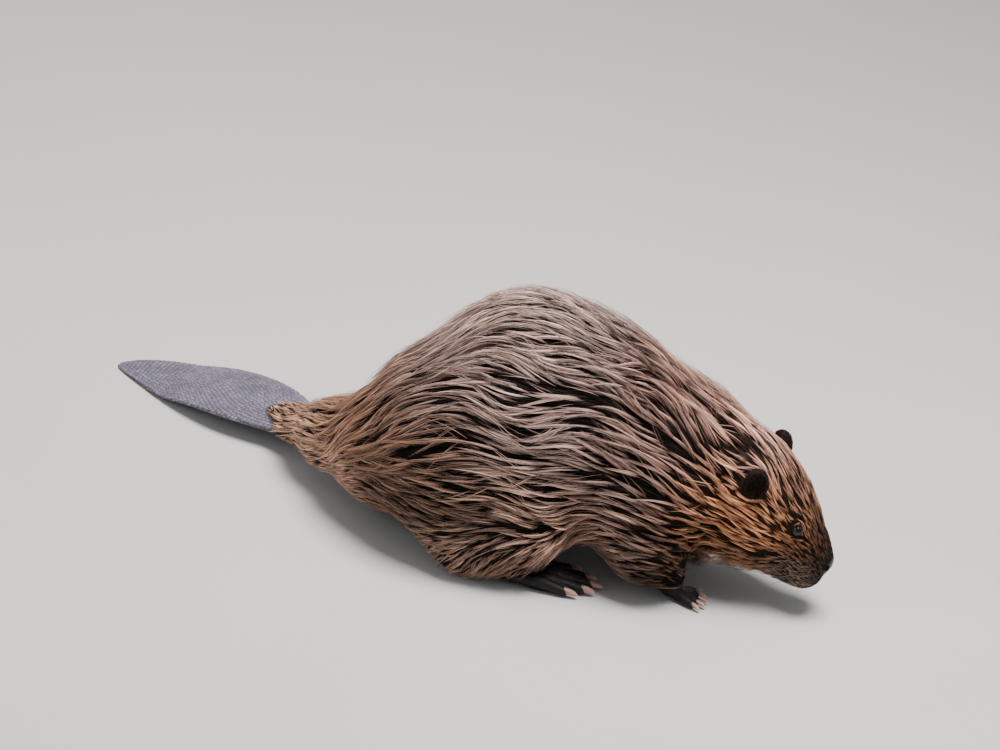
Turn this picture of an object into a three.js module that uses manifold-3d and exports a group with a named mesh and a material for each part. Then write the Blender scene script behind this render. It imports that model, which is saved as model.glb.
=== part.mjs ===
// North American beaver, adult, life size, hunched on a bank with its head
// reaching down and its tail swept to the left.
//
// Millimetres. +X runs from tail to nose, +Y is the animal's left, +Z is up and
// the floor is z = 0. The body is one smooth surface: rounded masses (muscle
// groups, skull, paws) melt into each other, and the outside of the sum is the
// outline at the tips of the coat. It is then parted, with thin cuts, into the
// pieces a person would name.
import * as THREE from 'three';
import { mergeVertices } from 'three/addons/utils/BufferGeometryUtils.js';
import Module from 'manifold-3d';

const wasm = await Module();
wasm.setup();

// ---------------------------------------------------------------- sizes
const GAP = 0.3; // clearance left between two pieces that meet
const SHORTEST_EDGE = 0.2; // slivers finer than this are closed up where pieces are cut
const FLOOR = 0; // level of the soles and of the resting tail tip
const SIDES = { left: 1, right: -1 };

const HEAD_PITCH = 31; // degrees, nose down
const HEAD_YAW = -12; // degrees, turned to the animal's right
const NOSE_TIP = [413, -26, 60];
const NOSE_REACH = 98; // nose tip ahead of the middle of the head

const EYE_RADIUS = 7;
const EYE_AT = [35.5, 33.2, 21.5]; // ahead, out, up from the middle of the head

const EAR_AT = [-37, 58, 37];
const EAR_SIZE = [9, 14, 20]; // half depth, half width, half height
const EAR_BOWL = [9.5, 10.5, 16.3]; // hollow of the ear, same order
const EAR_BOWL_SHIFT = 7; // how far the hollow is pushed outward

const TAIL_BASE = [-206, 98]; // plan position of the paddle's base
const TAIL_TIP = [-440, 232];
const TAIL_BOW = 26; // sideways bulge of the centreline
const TAIL_ARCH = 14; // how far the middle of the paddle lifts off the floor
const TAIL_HALF_WIDTH = { base: 32, middle: 68 };
const TAIL_HALF_THICK = { base: 12, tip: 4.6 };
const TAIL_REST_FROM = 0.72; // share of the paddle from which it lies on the floor
const TAIL_SINK = 0.8; // the underside is trimmed this much, to rest on a flat
const TAIL_ROOT_LIFT = 22; // extra height where the paddle leaves the body
const TAIL_END_POWER = 3; // 2 rounds the ends as an ellipse, more makes them blunter
const TAIL_OVERRUN = 1.04; // the loft runs this much past base and tip
const TAIL_RINGS = 13;
const TAIL_SIDES = 12;

const HEAD_CELL = 14.9; // grid spacing of the faceted surfaces
const TAIL_CELL = 18;
const BODY_CELL = 31;

const LIMB_SIDES = 6; // facets round a toe
const TOES = 5;
const HIND_TOE_TIPS = [[120, 115], [139, 101], [147, 85], [140, 69], [122, 56]];
const HIND_TOE_ROOT = { x: 62, firstY: 114, stepY: 8, z: 12 };
const HIND_TOE = { root: 9, tip: 6.8, tipZ: 7.6 };
const HIND_WEB = { at: [97, 88, 4], radii: [44, 30, 7] };
const HIND_CLAW = { length: 19, radius: 4.2, height: 8, droop: 10 };
const FORE_WRIST = [240, 61, 14.5];
const FORE_TOE = { start: 11, reach: 31, spread: 17, root: 7.5, rootZ: 7.2, tip: 5.6, tipZ: 5 };
const FORE_CLAW = { length: 15, radius: 2.8, height: 6.5, droop: 9 };

// ---------------------------------------------------------------- colours
const COLOURS = {
  back: [0x6a4f40, 0.72],
  face: [0x7d5238, 0.7],
  flank: [0x5e4435, 0.75],
  leather: [0x2b2726, 0.5],
  tail: [0x5a5f6e, 0.48],
  eye: [0x0b0908, 0.08],
  claw: [0xc79c90, 0.4],
};

function finish(name) {
  const [color, roughness] = COLOURS[name];
  return new THREE.MeshStandardMaterial({ color, roughness, metalness: 0 });
}

// ---------------------------------------------------------------- distance fields
// Each field takes (x, y, z) and gives the distance to a surface, below zero inside.
const radians = (degrees) => degrees * Math.PI / 180;

// Rows are the local ahead, left and up axes: nose down by pitch, then left by yaw.
function turn(pitch, yaw) {
  const [cp, sp] = [Math.cos(radians(pitch)), Math.sin(radians(pitch))];
  const [cy, sy] = [Math.cos(radians(yaw)), Math.sin(radians(yaw))];
  return [[cy * cp, sy * cp, -sp], [-sy, cy, 0], [cy * sp, sy * sp, cp]];
}

const dot = (a, b) => a[0] * b[0] + a[1] * b[1] + a[2] * b[2];
const along = (axes, v) => [0, 1, 2].map((i) => axes[0][i] * v[0] + axes[1][i] * v[1] + axes[2][i] * v[2]);
const product = (inner, outer) => inner.map((row) => along(outer, row));

function ellipsoid(centre, radii, axes) {
  return (x, y, z) => {
    const p = [x - centre[0], y - centre[1], z - centre[2]];
    const q = axes.map((axis, i) => dot(axis, p) / radii[i]);
    const reach = Math.hypot(...q);
    const slope = Math.hypot(q[0] / radii[0], q[1] / radii[1], q[2] / radii[2]);
    return slope < 1e-9 ? -Math.min(...radii) : reach * (reach - 1) / slope;
  };
}

function taperedLimb(from, to, startRadius, endRadius) {
  const axis = to.map((v, i) => v - from[i]);
  const lengthSquared = dot(axis, axis);
  return (x, y, z) => {
    const p = [x - from[0], y - from[1], z - from[2]];
    const t = Math.min(1, Math.max(0, dot(p, axis) / lengthSquared));
    const gap = Math.hypot(p[0] - t * axis[0], p[1] - t * axis[1], p[2] - t * axis[2]);
    return gap - (startRadius + t * (endRadius - startRadius));
  };
}

// Joins two distances with a fillet about `blend` wide.
function melt(a, b, blend) {
  const h = Math.max(blend - Math.abs(a - b), 0) / blend;
  return Math.min(a, b) - h * h * blend / 4;
}

function meltAll(parts) {
  return (x, y, z) => parts.reduce((sum, part) => melt(sum, part.field(x, y, z), part.blend), 1e3);
}

const mass = (at, radii, pitch, yaw, blend) => ({ field: ellipsoid(at, radii, turn(pitch, yaw)), blend });
const limb = (from, to, r1, r2, blend) => ({ field: taperedLimb(from, to, r1, r2), blend });

// ---------------------------------------------------------------- trunk and neck
const trunk = [
  mass([30, 0, 166], [114, 124, 137], 0, 0, 60), // loin, the top of the hunched back
  mass([112, 0, 158], [110, 108, 126], 12, 0, 60), // rib cage
  mass([198, -2, 138], [82, 90, 104], 22, 0, 50), // shoulders
  mass([-56, 2, 114], [82, 124, 95], -32, 0, 50), // rump
  mass([-98, 6, 76], [62, 84, 56], -28, 6, 45), // seat
  mass([254, -5, 136], [84, 62, 82], 34, -8, 45), // neck
];

// ---------------------------------------------------------------- head
const HEAD_AXES = turn(HEAD_PITCH, HEAD_YAW);
const HEAD_MIDDLE = NOSE_TIP.map((v, i) => v - NOSE_REACH * HEAD_AXES[0][i]);

// A point given as ahead, left and up from the middle of the head.
function headPoint([ahead, left, up]) {
  return along(HEAD_AXES, [ahead, left, up]).map((v, i) => v + HEAD_MIDDLE[i]);
}

function headMass(at, radii, pitch, yaw, blend) {
  return { field: ellipsoid(headPoint(at), radii, product(turn(pitch, yaw), HEAD_AXES)), blend };
}

const head = [
  headMass([-36, 0, 10], [62, 56, 56], 0, 0, 30), // cranium
  headMass([14, 0, 14], [56, 40, 37], 16, 0, 24), // forehead
  headMass([60, 0, -6], [37, 33, 32], 12, 0, 16), // muzzle
  headMass([-10, 31, -24], [54, 31, 42], 0, -14, 20), // left cheek
  headMass([-10, -31, -24], [54, 31, 42], 0, 14, 20), // right cheek
  headMass([71, 15, -18], [24, 18, 20], 0, 0, 10), // left upper lip
  headMass([71, -15, -18], [24, 18, 20], 0, 0, 10), // right upper lip
  headMass([66, 0, -32], [26, 21, 14], 0, 0, 12), // chin
  headMass([16, 0, -42], [56, 31, 24], -4, 0, 20), // lower jaw
  headMass([-34, 0, -46], [60, 48, 38], 0, 0, 30), // throat
  headMass([86, 0, 3], [12, 17, 12], 0, 0, 6), // nose pad
];

// ---------------------------------------------------------------- legs
// The furred part of the legs; the bare paws are solids of their own.
function legs(side) {
  const at = (x, y, z) => [x, side * y, z];
  return [
    mass(at(6, 82, 92), [88, 60, 78], -14, 0, 45), // haunch
    limb(at(56, 100, 60), at(0, 104, 34), 36, 28, 46), // shank, folded under
    limb(at(196, 58, 116), at(200, 72, 66), 50, 38, 50), // upper arm
    limb(at(200, 72, 60), at(232, 62, 32), 36, 23, 28), // forearm
  ];
}

// ---------------------------------------------------------------- tail
const tailRoot = [
  limb([-116, 8, 80], [-172, 50, 57], 54, 35, 45),
  limb([-172, 50, 56], [-232, 124, 32], 34, 17, 30),
];

// ---------------------------------------------------------------- the furred body
const body = meltAll([...trunk, ...legs(SIDES.left), ...legs(SIDES.right), ...tailRoot, ...head]);

// ---------------------------------------------------------------- surfaces from fields
// Naive surface nets: one vertex in each grid cell that the surface crosses, one
// quad round each crossed grid edge.
function surfaceNet(field, low, high, cell) {
  const count = low.map((v, i) => Math.ceil((high[i] - v) / cell) + 1);
  const place = (ijk) => ijk.map((n, axis) => low[axis] + n * cell);
  const slot = (i, j, k) => (i * count[1] + j) * count[2] + k;
  const value = new Float64Array(count[0] * count[1] * count[2]);
  const eachCell = (size, visit) => {
    for (let i = 0; i < size[0]; i++) {
      for (let j = 0; j < size[1]; j++) {
        for (let k = 0; k < size[2]; k++) visit(i, j, k);
      }
    }
  };
  eachCell(count, (i, j, k) => {
    const atEdge = [i, j, k].some((n, axis) => n === 0 || n === count[axis] - 1);
    value[slot(i, j, k)] = atEdge ? cell : field(...place([i, j, k]));
  });

  const corners = [0, 1, 2, 3, 4, 5, 6, 7].map((n) => [n >> 2 & 1, n >> 1 & 1, n & 1]);
  const edges = corners.flatMap((a, n) => corners.slice(n + 1)
    .filter((b) => a.filter((v, i) => v !== b[i]).length === 1).map((b) => [a, b]));
  const points = [];
  const pointOf = new Int32Array(value.length).fill(-1);
  eachCell(count.map((n) => n - 1), (i, j, k) => {
    const sum = [0, 0, 0];
    let hits = 0;
    for (const [a, b] of edges) {
      const va = value[slot(i + a[0], j + a[1], k + a[2])];
      const vb = value[slot(i + b[0], j + b[1], k + b[2])];
      if ((va < 0) !== (vb < 0)) {
        const t = va / (va - vb);
        [i, j, k].forEach((n, axis) => { sum[axis] += n + a[axis] + t * (b[axis] - a[axis]); });
        hits += 1;
      }
    }
    if (hits) {
      pointOf[slot(i, j, k)] = points.length;
      points.push(place(sum.map((v) => v / hits)));
    }
  });

  const triangles = [];
  const distance = (a, b) => Math.hypot(...points[a].map((v, i) => v - points[b][i]));
  const addQuad = (a, b, c, d) => {
    if (distance(a, c) < distance(b, d)) triangles.push(a, b, c, a, c, d);
    else triangles.push(a, b, d, b, c, d);
  };
  eachCell(count.map((n) => n - 1), (i, j, k) => {
    const here = value[slot(i, j, k)] < 0;
    for (let axis = 0; axis < 3; axis++) {
      const step = [0, 0, 0].map((_, n) => (n === axis ? 1 : 0));
      const ahead = value[slot(i + step[0], j + step[1], k + step[2])] < 0;
      if (here === ahead) continue;
      const [u, v] = [(axis + 1) % 3, (axis + 2) % 3];
      const ring = [[0, 0], [1, 0], [1, 1], [0, 1]].map(([du, dv]) => {
        const ijk = [i, j, k];
        ijk[u] -= du;
        ijk[v] -= dv;
        return pointOf[slot(...ijk)];
      });
      if (here) addQuad(...ring);
      else addQuad(...ring.reverse());
    }
  });
  return solid(Float32Array.from(points.flat()), Uint32Array.from(triangles));
}

function solid(vertProperties, triVerts) {
  return new wasm.Manifold(new wasm.Mesh({ numProp: 3, vertProperties, triVerts, tolerance: SHORTEST_EDGE }));
}

function solidFromGeometry(geometry) {
  const bare = geometry.index ? geometry.clone() : mergeVertices(geometry);
  bare.deleteAttribute('normal');
  bare.deleteAttribute('uv');
  const merged = mergeVertices(bare, 1e-4);
  return solid(Float32Array.from(merged.attributes.position.array), Uint32Array.from(merged.index.array));
}

// ---------------------------------------------------------------- cutters
// Each cutter is a function of `margin`, so that a neighbour is cut a little larger.
function slab(point, axes, ranges) {
  return (margin = 0) => {
    const sizes = ranges.map(([from, to]) => to - from + 2 * margin);
    const middle = ranges.map(([from, to]) => (from + to) / 2);
    const basis = new THREE.Matrix4().makeBasis(...axes.map((axis) => new THREE.Vector3(...axis)));
    const box = new THREE.BoxGeometry(...sizes).translate(...middle).applyMatrix4(basis).translate(...point);
    return solidFromGeometry(box);
  };
}

function oval(centre, radii) {
  return (margin = 0) => solidFromGeometry(new THREE.SphereGeometry(1, 12, 7)
    .scale(...radii.map((r) => r + margin)).translate(...centre));
}

// ---------------------------------------------------------------- bare paws
// A tapered limb as a solid of revolution. The far end is round, and the near end, which
// lies inside another solid, is a blunt cone.
function limbSolid(from, to, startRadius, endRadius, margin = 0) {
  const axis = new THREE.Vector3(...to).sub(new THREE.Vector3(...from));
  const length = axis.length();
  const [r1, r2] = [startRadius + margin, endRadius + margin];
  const shoulder = r2 * Math.SQRT1_2;
  const profile = [[0, -r1 * 0.8], [r1, 0], [r2, length], [shoulder, length + shoulder], [0, length + r2]];
  const spin = new THREE.Quaternion().setFromUnitVectors(new THREE.Vector3(0, 1, 0), axis.normalize());
  const limbShape = new THREE.LatheGeometry(profile.map(([r, h]) => new THREE.Vector2(r, h)), LIMB_SIDES);
  return solidFromGeometry(limbShape.applyQuaternion(spin).translate(...from));
}

const join = (solids) => solids.reduce((sum, next) => sum.add(next));

function hindFoot(side, margin = 0) {
  const at = (x, y, z) => [x, side * y, z];
  const { x, firstY, stepY, z } = HIND_TOE_ROOT;
  const toes = HIND_TOE_TIPS.map(([tipX, tipY], i) => limbSolid(
    at(x, firstY - stepY * i, z), at(tipX, tipY, HIND_TOE.tipZ), HIND_TOE.root, HIND_TOE.tip, margin));
  const web = oval(at(...HIND_WEB.at), HIND_WEB.radii)(margin);
  return join([limbSolid(at(60, 101, 14), at(-2, 104, 16), 15, 17, margin), web, ...toes]);
}

// Plan positions at one distance from the wrist along the five evenly fanned front toes.
function foreFan(reach) {
  return Array.from({ length: TOES }, (_, i) => {
    const fan = radians(FORE_TOE.spread * (i - (TOES - 1) / 2));
    return [FORE_WRIST[0] + reach * Math.cos(fan), FORE_WRIST[1] + reach * Math.sin(fan)];
  });
}

function forepaw(side, margin = 0) {
  const at = (x, y, z) => [x, side * y, z];
  const roots = foreFan(FORE_TOE.start);
  const toes = foreFan(FORE_TOE.reach).map((tip, i) => limbSolid(
    at(...roots[i], FORE_TOE.rootZ), at(...tip, FORE_TOE.tipZ), FORE_TOE.root, FORE_TOE.tip, margin));
  return join([limbSolid(at(228, 63, 32), at(...FORE_WRIST), 20, 15, margin), ...toes]);
}

// ---------------------------------------------------------------- tail paddle
// A flat oval lofted along a centreline that is an arc in plan. Its sections are
// ellipses, its middle lifts off the floor in an arch, and its tip lies flat.
function paddle(margin = 0) {
  const chord = [TAIL_TIP[0] - TAIL_BASE[0], TAIL_TIP[1] - TAIL_BASE[1]];
  const span = Math.hypot(...chord);
  const side = [-chord[1] / span, chord[0] / span];
  const radius = (span * span / 4 + TAIL_BOW * TAIL_BOW) / (2 * TAIL_BOW);
  const pivot = [0, 1].map((i) => (TAIL_BASE[i] + TAIL_TIP[i]) / 2 + side[i] * (radius - TAIL_BOW));
  const sweep = 2 * Math.asin(span / 2 / radius);
  const outward = Math.atan2(-side[1], -side[0]);
  const points = [];
  for (let ring = 0; ring <= TAIL_RINGS; ring++) {
    const turned = -Math.cos(Math.PI * ring / TAIL_RINGS); // rings crowd towards both ends
    const s = 0.5 + turned / 2;
    const closing = Math.sqrt(Math.max(0, 1 - Math.abs(turned) ** TAIL_END_POWER));
    const half = closing * (TAIL_HALF_WIDTH.base
      + (TAIL_HALF_WIDTH.middle - TAIL_HALF_WIDTH.base) * Math.sin(Math.PI * s ** 0.85)) + margin;
    const thick = closing * (TAIL_HALF_THICK.tip
      + (TAIL_HALF_THICK.base - TAIL_HALF_THICK.tip) * (1 - s) ** 1.2) + margin;
    const rise = TAIL_ARCH * Math.sin(Math.PI * Math.min(1, s / TAIL_REST_FROM))
      + TAIL_ROOT_LIFT * Math.max(0, 1 - s / 0.45) ** 2;
    const middle = FLOOR - TAIL_SINK + thick - margin + rise;
    const heading = outward + (s - 0.5) * sweep * TAIL_OVERRUN;
    const atEnd = ring === 0 || ring === TAIL_RINGS;
    for (let step = 0; step < (atEnd ? 1 : TAIL_SIDES); step++) {
      const round = -2 * Math.PI * step / TAIL_SIDES;
      const reach = radius + (atEnd ? 0 : half * Math.cos(round));
      points.push([
        pivot[0] + reach * Math.cos(heading), pivot[1] + reach * Math.sin(heading),
        middle + (atEnd ? 0 : thick * Math.sin(round)),
      ]);
    }
  }
  return solid(Float32Array.from(points.flat()), Uint32Array.from(loftTriangles(TAIL_RINGS, TAIL_SIDES)));
}

// Triangles of a loft with one point at each end and `sides` points on every other ring.
function loftTriangles(rings, sides) {
  const index = (ring, step) => (ring === 0 ? 0 : ring === rings ? 1 + (rings - 1) * sides
    : 1 + (ring - 1) * sides + step % sides);
  const triangles = [];
  for (let ring = 0; ring < rings; ring++) {
    for (let step = 0; step < sides; step++) {
      const [a, b] = [index(ring, step), index(ring, step + 1)];
      const [c, d] = [index(ring + 1, step), index(ring + 1, step + 1)];
      if (a !== b) triangles.push(a, b, d);
      if (c !== d) triangles.push(a, d, c);
    }
  }
  return triangles;
}

// ---------------------------------------------------------------- the pieces of flesh
const UPRIGHT = turn(0, 0);
const floorCut = slab([0, 0, FLOOR], UPRIGHT, [[-900, 900], [-900, 900], [-200, 0]]);

// The furred body is surfaced finely round the head and tail root, coarsely for the rest.
const fineBody = surfaceNet(body, [250, -110, -6], [440, 80, 225], HEAD_CELL);
const rearBody = surfaceNet(body, [-290, -100, -24], [-70, 180, 190], TAIL_CELL);
const coarseBody = surfaceNet(body, [-290, -210, -60], [470, 210, 380], BODY_CELL);

// An earlier piece wins where two meet. A piece is either a solid of its own, or what
// its cutter takes from one of the two bodies.
const pieces = [{
  name: 'head', colour: 'face', from: fineBody,
  cutter: slab(HEAD_MIDDLE, HEAD_AXES, [[-50, 140], [-90, 90], [-88, 110]]),
}];
for (const [name, side] of Object.entries(SIDES)) {
  pieces.push(
    { name: `forepaw_${name}`, colour: 'leather', own: (margin) => forepaw(side, margin) },
    { name: `hind_foot_${name}`, colour: 'leather', own: (margin) => hindFoot(side, margin) },
    {
      name: `foreleg_${name}`, colour: 'flank', from: coarseBody,
      cutter: oval([206, side * 94, 68], [62, 54, 98]),
    },
    {
      name: `hind_leg_${name}`, colour: 'flank', from: coarseBody,
      cutter: oval([16, side * 124, 84], [112, 66, 96]),
    },
  );
}
pieces.push({
  name: 'tail_paddle', colour: 'tail', own: paddle,
}, {
  name: 'neck', colour: 'back', from: coarseBody,
  cutter: slab([238, -4, 150], turn(24, -5), [[0, 150], [-120, 120], [-150, 150]]),
}, {
  name: 'tail_root', colour: 'back', from: rearBody,
  cutter: slab([-148, 26, 60], turn(0, 160), [[0, 140], [-100, 100], [-80, 100]]),
}, {
  name: 'trunk', colour: 'back', from: coarseBody,
  cutter: slab([0, 0, 0], UPRIGHT, [[-300, 360], [-200, 200], [-50, 400]]),
});

const flesh = {};
const taken = [];
for (const { name, own, from, cutter } of pieces) {
  const whole = own ? own(0) : from.intersect(cutter(0));
  flesh[name] = taken.reduce((shape, earlier) => shape.subtract(earlier(GAP)), whole.subtract(floorCut(0)));
  taken.push(own ?? cutter);
}

// ---------------------------------------------------------------- eyes and ears
const extras = [];

function eyeball(side, radius) {
  const centre = headPoint([EYE_AT[0], side * EYE_AT[1], EYE_AT[2]]);
  return solidFromGeometry(new THREE.SphereGeometry(radius, 9, 6).translate(...centre));
}

// An ellipsoid that faces out and a little ahead; `shift` pushes it out along its depth.
function earOval(side, sizes, shift, margin = 0) {
  const facing = new THREE.Vector3(0.35, side * 0.93, 0.1).normalize();
  const tall = new THREE.Vector3(-0.6, 0, 1);
  tall.addScaledVector(facing, -tall.dot(facing)).normalize();
  const wide = new THREE.Vector3().crossVectors(tall, facing);
  const axes = product([facing, wide, tall].map((v) => v.toArray()), HEAD_AXES);
  const centre = headPoint([EAR_AT[0], side * EAR_AT[1], EAR_AT[2]]);
  const egg = new THREE.SphereGeometry(1, 10, 7).scale(...sizes.map((size) => size + margin));
  egg.applyMatrix4(new THREE.Matrix4().makeBasis(...axes.map((axis) => new THREE.Vector3(...axis))));
  return solidFromGeometry(egg.translate(...centre.map((v, i) => v + shift * axes[0][i])));
}

for (const [name, side] of Object.entries(SIDES)) {
  flesh.head = flesh.head.subtract(eyeball(side, EYE_RADIUS + GAP));
  extras.push({ name: `eye_${name}`, colour: 'eye', shape: eyeball(side, EYE_RADIUS) });

  // The cup of the ear is set in a shallow socket across the head and neck.
  for (const seat of ['head', 'neck']) flesh[seat] = flesh[seat].subtract(earOval(side, EAR_SIZE, 0, GAP));
  const cup = earOval(side, EAR_SIZE, 0).subtract(earOval(side, EAR_BOWL, EAR_BOWL_SHIFT));
  extras.push({ name: `ear_${name}`, colour: 'leather', shape: cup });
}

// ---------------------------------------------------------------- claws
// A claw is a short pointed horn set in a socket in the toe, tipped down to the floor.
function claw(toeRoot, toeTip, { length, radius, droop }, margin = 0) {
  const heading = Math.atan2(toeTip[1] - toeRoot[1], toeTip[0] - toeRoot[0]);
  const profile = [
    [0, -margin], [radius * 0.8 + margin, -margin], [radius + margin, length * 0.45], [0, length + 3 * margin],
  ];
  const horn = new THREE.LatheGeometry(profile.map(([r, h]) => new THREE.Vector2(r, h)), 5);
  horn.rotateZ(-Math.PI / 2).rotateY(radians(droop)).rotateZ(heading).translate(...toeTip);
  return solidFromGeometry(horn);
}

const paws = {
  forepaw: { tips: foreFan(FORE_TOE.reach), claw: FORE_CLAW, root: () => FORE_WRIST },
  hind_foot: {
    tips: HIND_TOE_TIPS, claw: HIND_CLAW,
    root: (i) => [HIND_TOE_ROOT.x, HIND_TOE_ROOT.firstY - HIND_TOE_ROOT.stepY * i],
  },
};
for (const [paw, { tips, claw: size, root }] of Object.entries(paws)) {
  for (const [name, side] of Object.entries(SIDES)) {
    const foot = `${paw}_${name}`;
    tips.forEach(([x, y], i) => {
      const [rootX, rootY] = root(i);
      const horn = (margin) => claw([rootX, side * rootY], [x, side * y, size.height], size, margin);
      flesh[foot] = flesh[foot].subtract(horn(GAP));
      extras.push({ name: `claw_${foot}_${i + 1}`, colour: 'claw', shape: horn(0) });
    });
  }
}

// ---------------------------------------------------------------- the object
function addMesh(group, name, colour, shape) {
  const mesh = shape.getMesh();
  const geometry = new THREE.BufferGeometry();
  geometry.setAttribute('position', new THREE.BufferAttribute(Float32Array.from(mesh.vertProperties), 3));
  geometry.setIndex(new THREE.BufferAttribute(Uint32Array.from(mesh.triVerts), 1));
  const part = new THREE.Mesh(geometry, finish(colour));
  part.name = name;
  group.add(part);
}

const beaver = new THREE.Group();
for (const { name, colour } of pieces) addMesh(beaver, name, colour, flesh[name]);
for (const { name, colour, shape } of extras) addMesh(beaver, name, colour, shape);

// The origin is the middle of the footprint, on the floor.
const bounds = new THREE.Box3().setFromObject(beaver);
beaver.position.set(-(bounds.min.x + bounds.max.x) / 2, -(bounds.min.y + bounds.max.y) / 2, -bounds.min.z);

export default beaver;
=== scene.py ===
# A life-size still model of an adult beaver, hunched, with its head reaching down and
# its flat tail swept to one side. One skin carries a wet coat of combed locks.
import math

import bpy
import numpy as np
from mathutils import Matrix, Vector


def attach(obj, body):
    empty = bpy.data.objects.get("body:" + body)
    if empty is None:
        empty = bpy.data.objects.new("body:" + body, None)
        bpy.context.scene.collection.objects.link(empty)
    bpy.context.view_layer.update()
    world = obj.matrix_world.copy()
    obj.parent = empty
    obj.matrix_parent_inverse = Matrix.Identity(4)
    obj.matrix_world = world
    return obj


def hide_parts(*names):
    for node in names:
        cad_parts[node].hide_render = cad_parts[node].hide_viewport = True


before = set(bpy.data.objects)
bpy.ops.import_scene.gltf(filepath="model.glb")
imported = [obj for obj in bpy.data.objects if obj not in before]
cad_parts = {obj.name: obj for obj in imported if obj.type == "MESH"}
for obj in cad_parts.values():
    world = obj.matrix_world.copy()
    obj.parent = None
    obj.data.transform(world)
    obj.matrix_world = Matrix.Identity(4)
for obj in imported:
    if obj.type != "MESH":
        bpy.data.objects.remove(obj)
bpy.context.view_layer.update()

# ------------------------------------------------------------------ viewpoint
# A long lens, level with the top of a bank: it looks down at the right side of the
# animal, and is rolled so that the nose is lower in the picture than the tail.
LOOK_DOWN = math.radians(25)
CAMERA_ROLL = math.radians(12)
CAMERA_DISTANCE = 6.0
PICTURE_WIDTH = 1.13  # what the lens takes in at the animal, in metres
LOOK_AT = Vector((0.01511, -0.05998, 0.1995))

away = Vector((0, -math.cos(LOOK_DOWN), math.sin(LOOK_DOWN)))
level_right = Vector((1, 0, 0))
level_up = away.cross(level_right)
rolled_right = level_right * math.cos(CAMERA_ROLL) + level_up * math.sin(CAMERA_ROLL)
rolled_up = level_up * math.cos(CAMERA_ROLL) - level_right * math.sin(CAMERA_ROLL)
lens = bpy.data.cameras.new("camera")
lens.sensor_width = 36
lens.lens = lens.sensor_width * CAMERA_DISTANCE / PICTURE_WIDTH
lens.clip_end = 50
camera = bpy.data.objects.new("camera", lens)
camera.matrix_world = Matrix((rolled_right, rolled_up, away)).transposed().to_4x4()
camera.location = LOOK_AT + away * CAMERA_DISTANCE
bpy.context.collection.objects.link(camera)
bpy.context.scene.camera = camera


# ------------------------------------------------------------------ skin
# One hide from nose to tail, under the tips of the coat by the coat's depth: near-black
# underfur, its darkness partly painted shade of the gaps in the coat, bare leather on nose,
# ears and paws, slate grey on the tail. It is one closed surface round melted masses. Sizes
# are in mm in the body's own frame, floor at z = 0.
BODY_ORIGIN = np.array([0.015107, -0.059981, 0.0])  # the body frame's origin, in metres
HEAD_PITCH = 31
HEAD_YAW = -12
NOSE_TIP = np.array([413.0, -26.0, 60.0])
NOSE_REACH = 98
EYE_AT = [35.5, 33.2, 21.5]  # ahead, out, up from the middle of the head
EYE_RADIUS = 7.0
EAR_AT = [-37, 58, 37]
EAR_SIZE = np.array([9, 14, 20])  # half depth, half width, half height
EAR_BOWL = np.array([10.5, 11.3, 17.2])
EAR_BOWL_SHIFT = 6.4
PAW_BLEND = 7  # how far a joint between two masses is rounded
TAIL_BLEND = 16
TAIL_BASE = np.array([-206.0, 98.0])
TAIL_TIP = np.array([-440.0, 232.0])
TAIL_BOW = 26
TAIL_HALF_WIDTH = (32, 36)  # at the ends, and what the bulge between them adds
TAIL_HALF_THICK = (4.6, 7.4)  # at the tip, and what the root adds
TAIL_ARCH = 14
TAIL_ROOT_RISE = 22
TAIL_SUNK = 0.8  # so that the tail lies on the floor on its flat side
TAIL_OVERRUN = 1.04
TAIL_ROOT = [-185, 60, 55]
HIND_TOE_ROOTS = [[62, 114 - 8 * i] for i in range(5)]
HIND_TOE_TIPS = [[120, 115], [139, 101], [147, 85], [140, 69], [122, 56]]
FORE_WRIST = [240, 61, 14.5]
FORE_FAN = np.radians([-34, -17, 0, 17, 34])
FORE_TOE = (11, 31)  # where a toe begins and ends, from the wrist
SKIN_CELL = 5.4
SKIN_LOW = np.array([-462.0, -150.0, -12.0])
SKIN_HIGH = np.array([424.0, 318.0, 312.0])
TAIL_SWELL = 3.0  # so that the net's cells find the thin rim of the tail
SIDES = {"left": 1, "right": -1}
BOTH = tuple(SIDES.values())


def turned(pitch, yaw):
    """Rows are the local ahead, left and up axes: nose down by pitch, then left by yaw."""
    cp, sp = math.cos(math.radians(pitch)), math.sin(math.radians(pitch))
    cy, sy = math.cos(math.radians(yaw)), math.sin(math.radians(yaw))
    return np.array([[cy * cp, sy * cp, -sp], [-sy, cy, 0], [cy * sp, sy * sp, cp]])


def length(v):
    """Square root of the sum of the squares along the last axis."""
    return np.sqrt(np.einsum("...i,...i->...", v, v))


def unit(v):
    """Each vector over its own length."""
    return v / (length(v)[..., None] + 1e-9)


def oval(centre, radii, axes, blend):
    """Distance to an ellipsoid: k (k - 1) / g, with k the length of the point over the
    radii and g the length of the point over the radii squared."""
    centre, radii, axes = (np.asarray(v, np.float32) for v in (centre, radii, axes))

    def field(p):
        q = (p - centre) @ axes.T / radii
        reach = length(q)
        return reach * (reach - 1) / (length(q / radii) + 1e-9)
    return field, blend


def limb(start, end, start_radius, end_radius, blend):
    """Distance to a line from start to end, less a radius that changes evenly along it."""
    start, end = (np.asarray(v, np.float32) for v in (start, end))
    axis = end - start

    def field(p):
        q = p - start
        t = np.clip(q @ axis / (axis @ axis), 0, 1)
        return length(q - t[:, None] * axis) - (start_radius + t * (end_radius - start_radius))
    return field, blend


def melt(a, b, blend):
    """The lesser of two distances, less (overlap squared) x blend / 4 where they are close."""
    overlap = np.maximum(blend - np.abs(a - b), 0) / blend
    return np.minimum(a, b) - overlap ** 2 * (blend / 4)


def melted(parts, p):
    """All the parts' distances melted together, one after the other."""
    total = np.full(len(p), 1e3, np.float32)
    for field, blend in parts:
        total = melt(total, field(p), blend)
    return total


def mirrored(side, x, y, z):
    """A point on the animal's left or right."""
    return [x, side * y, z]


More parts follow.
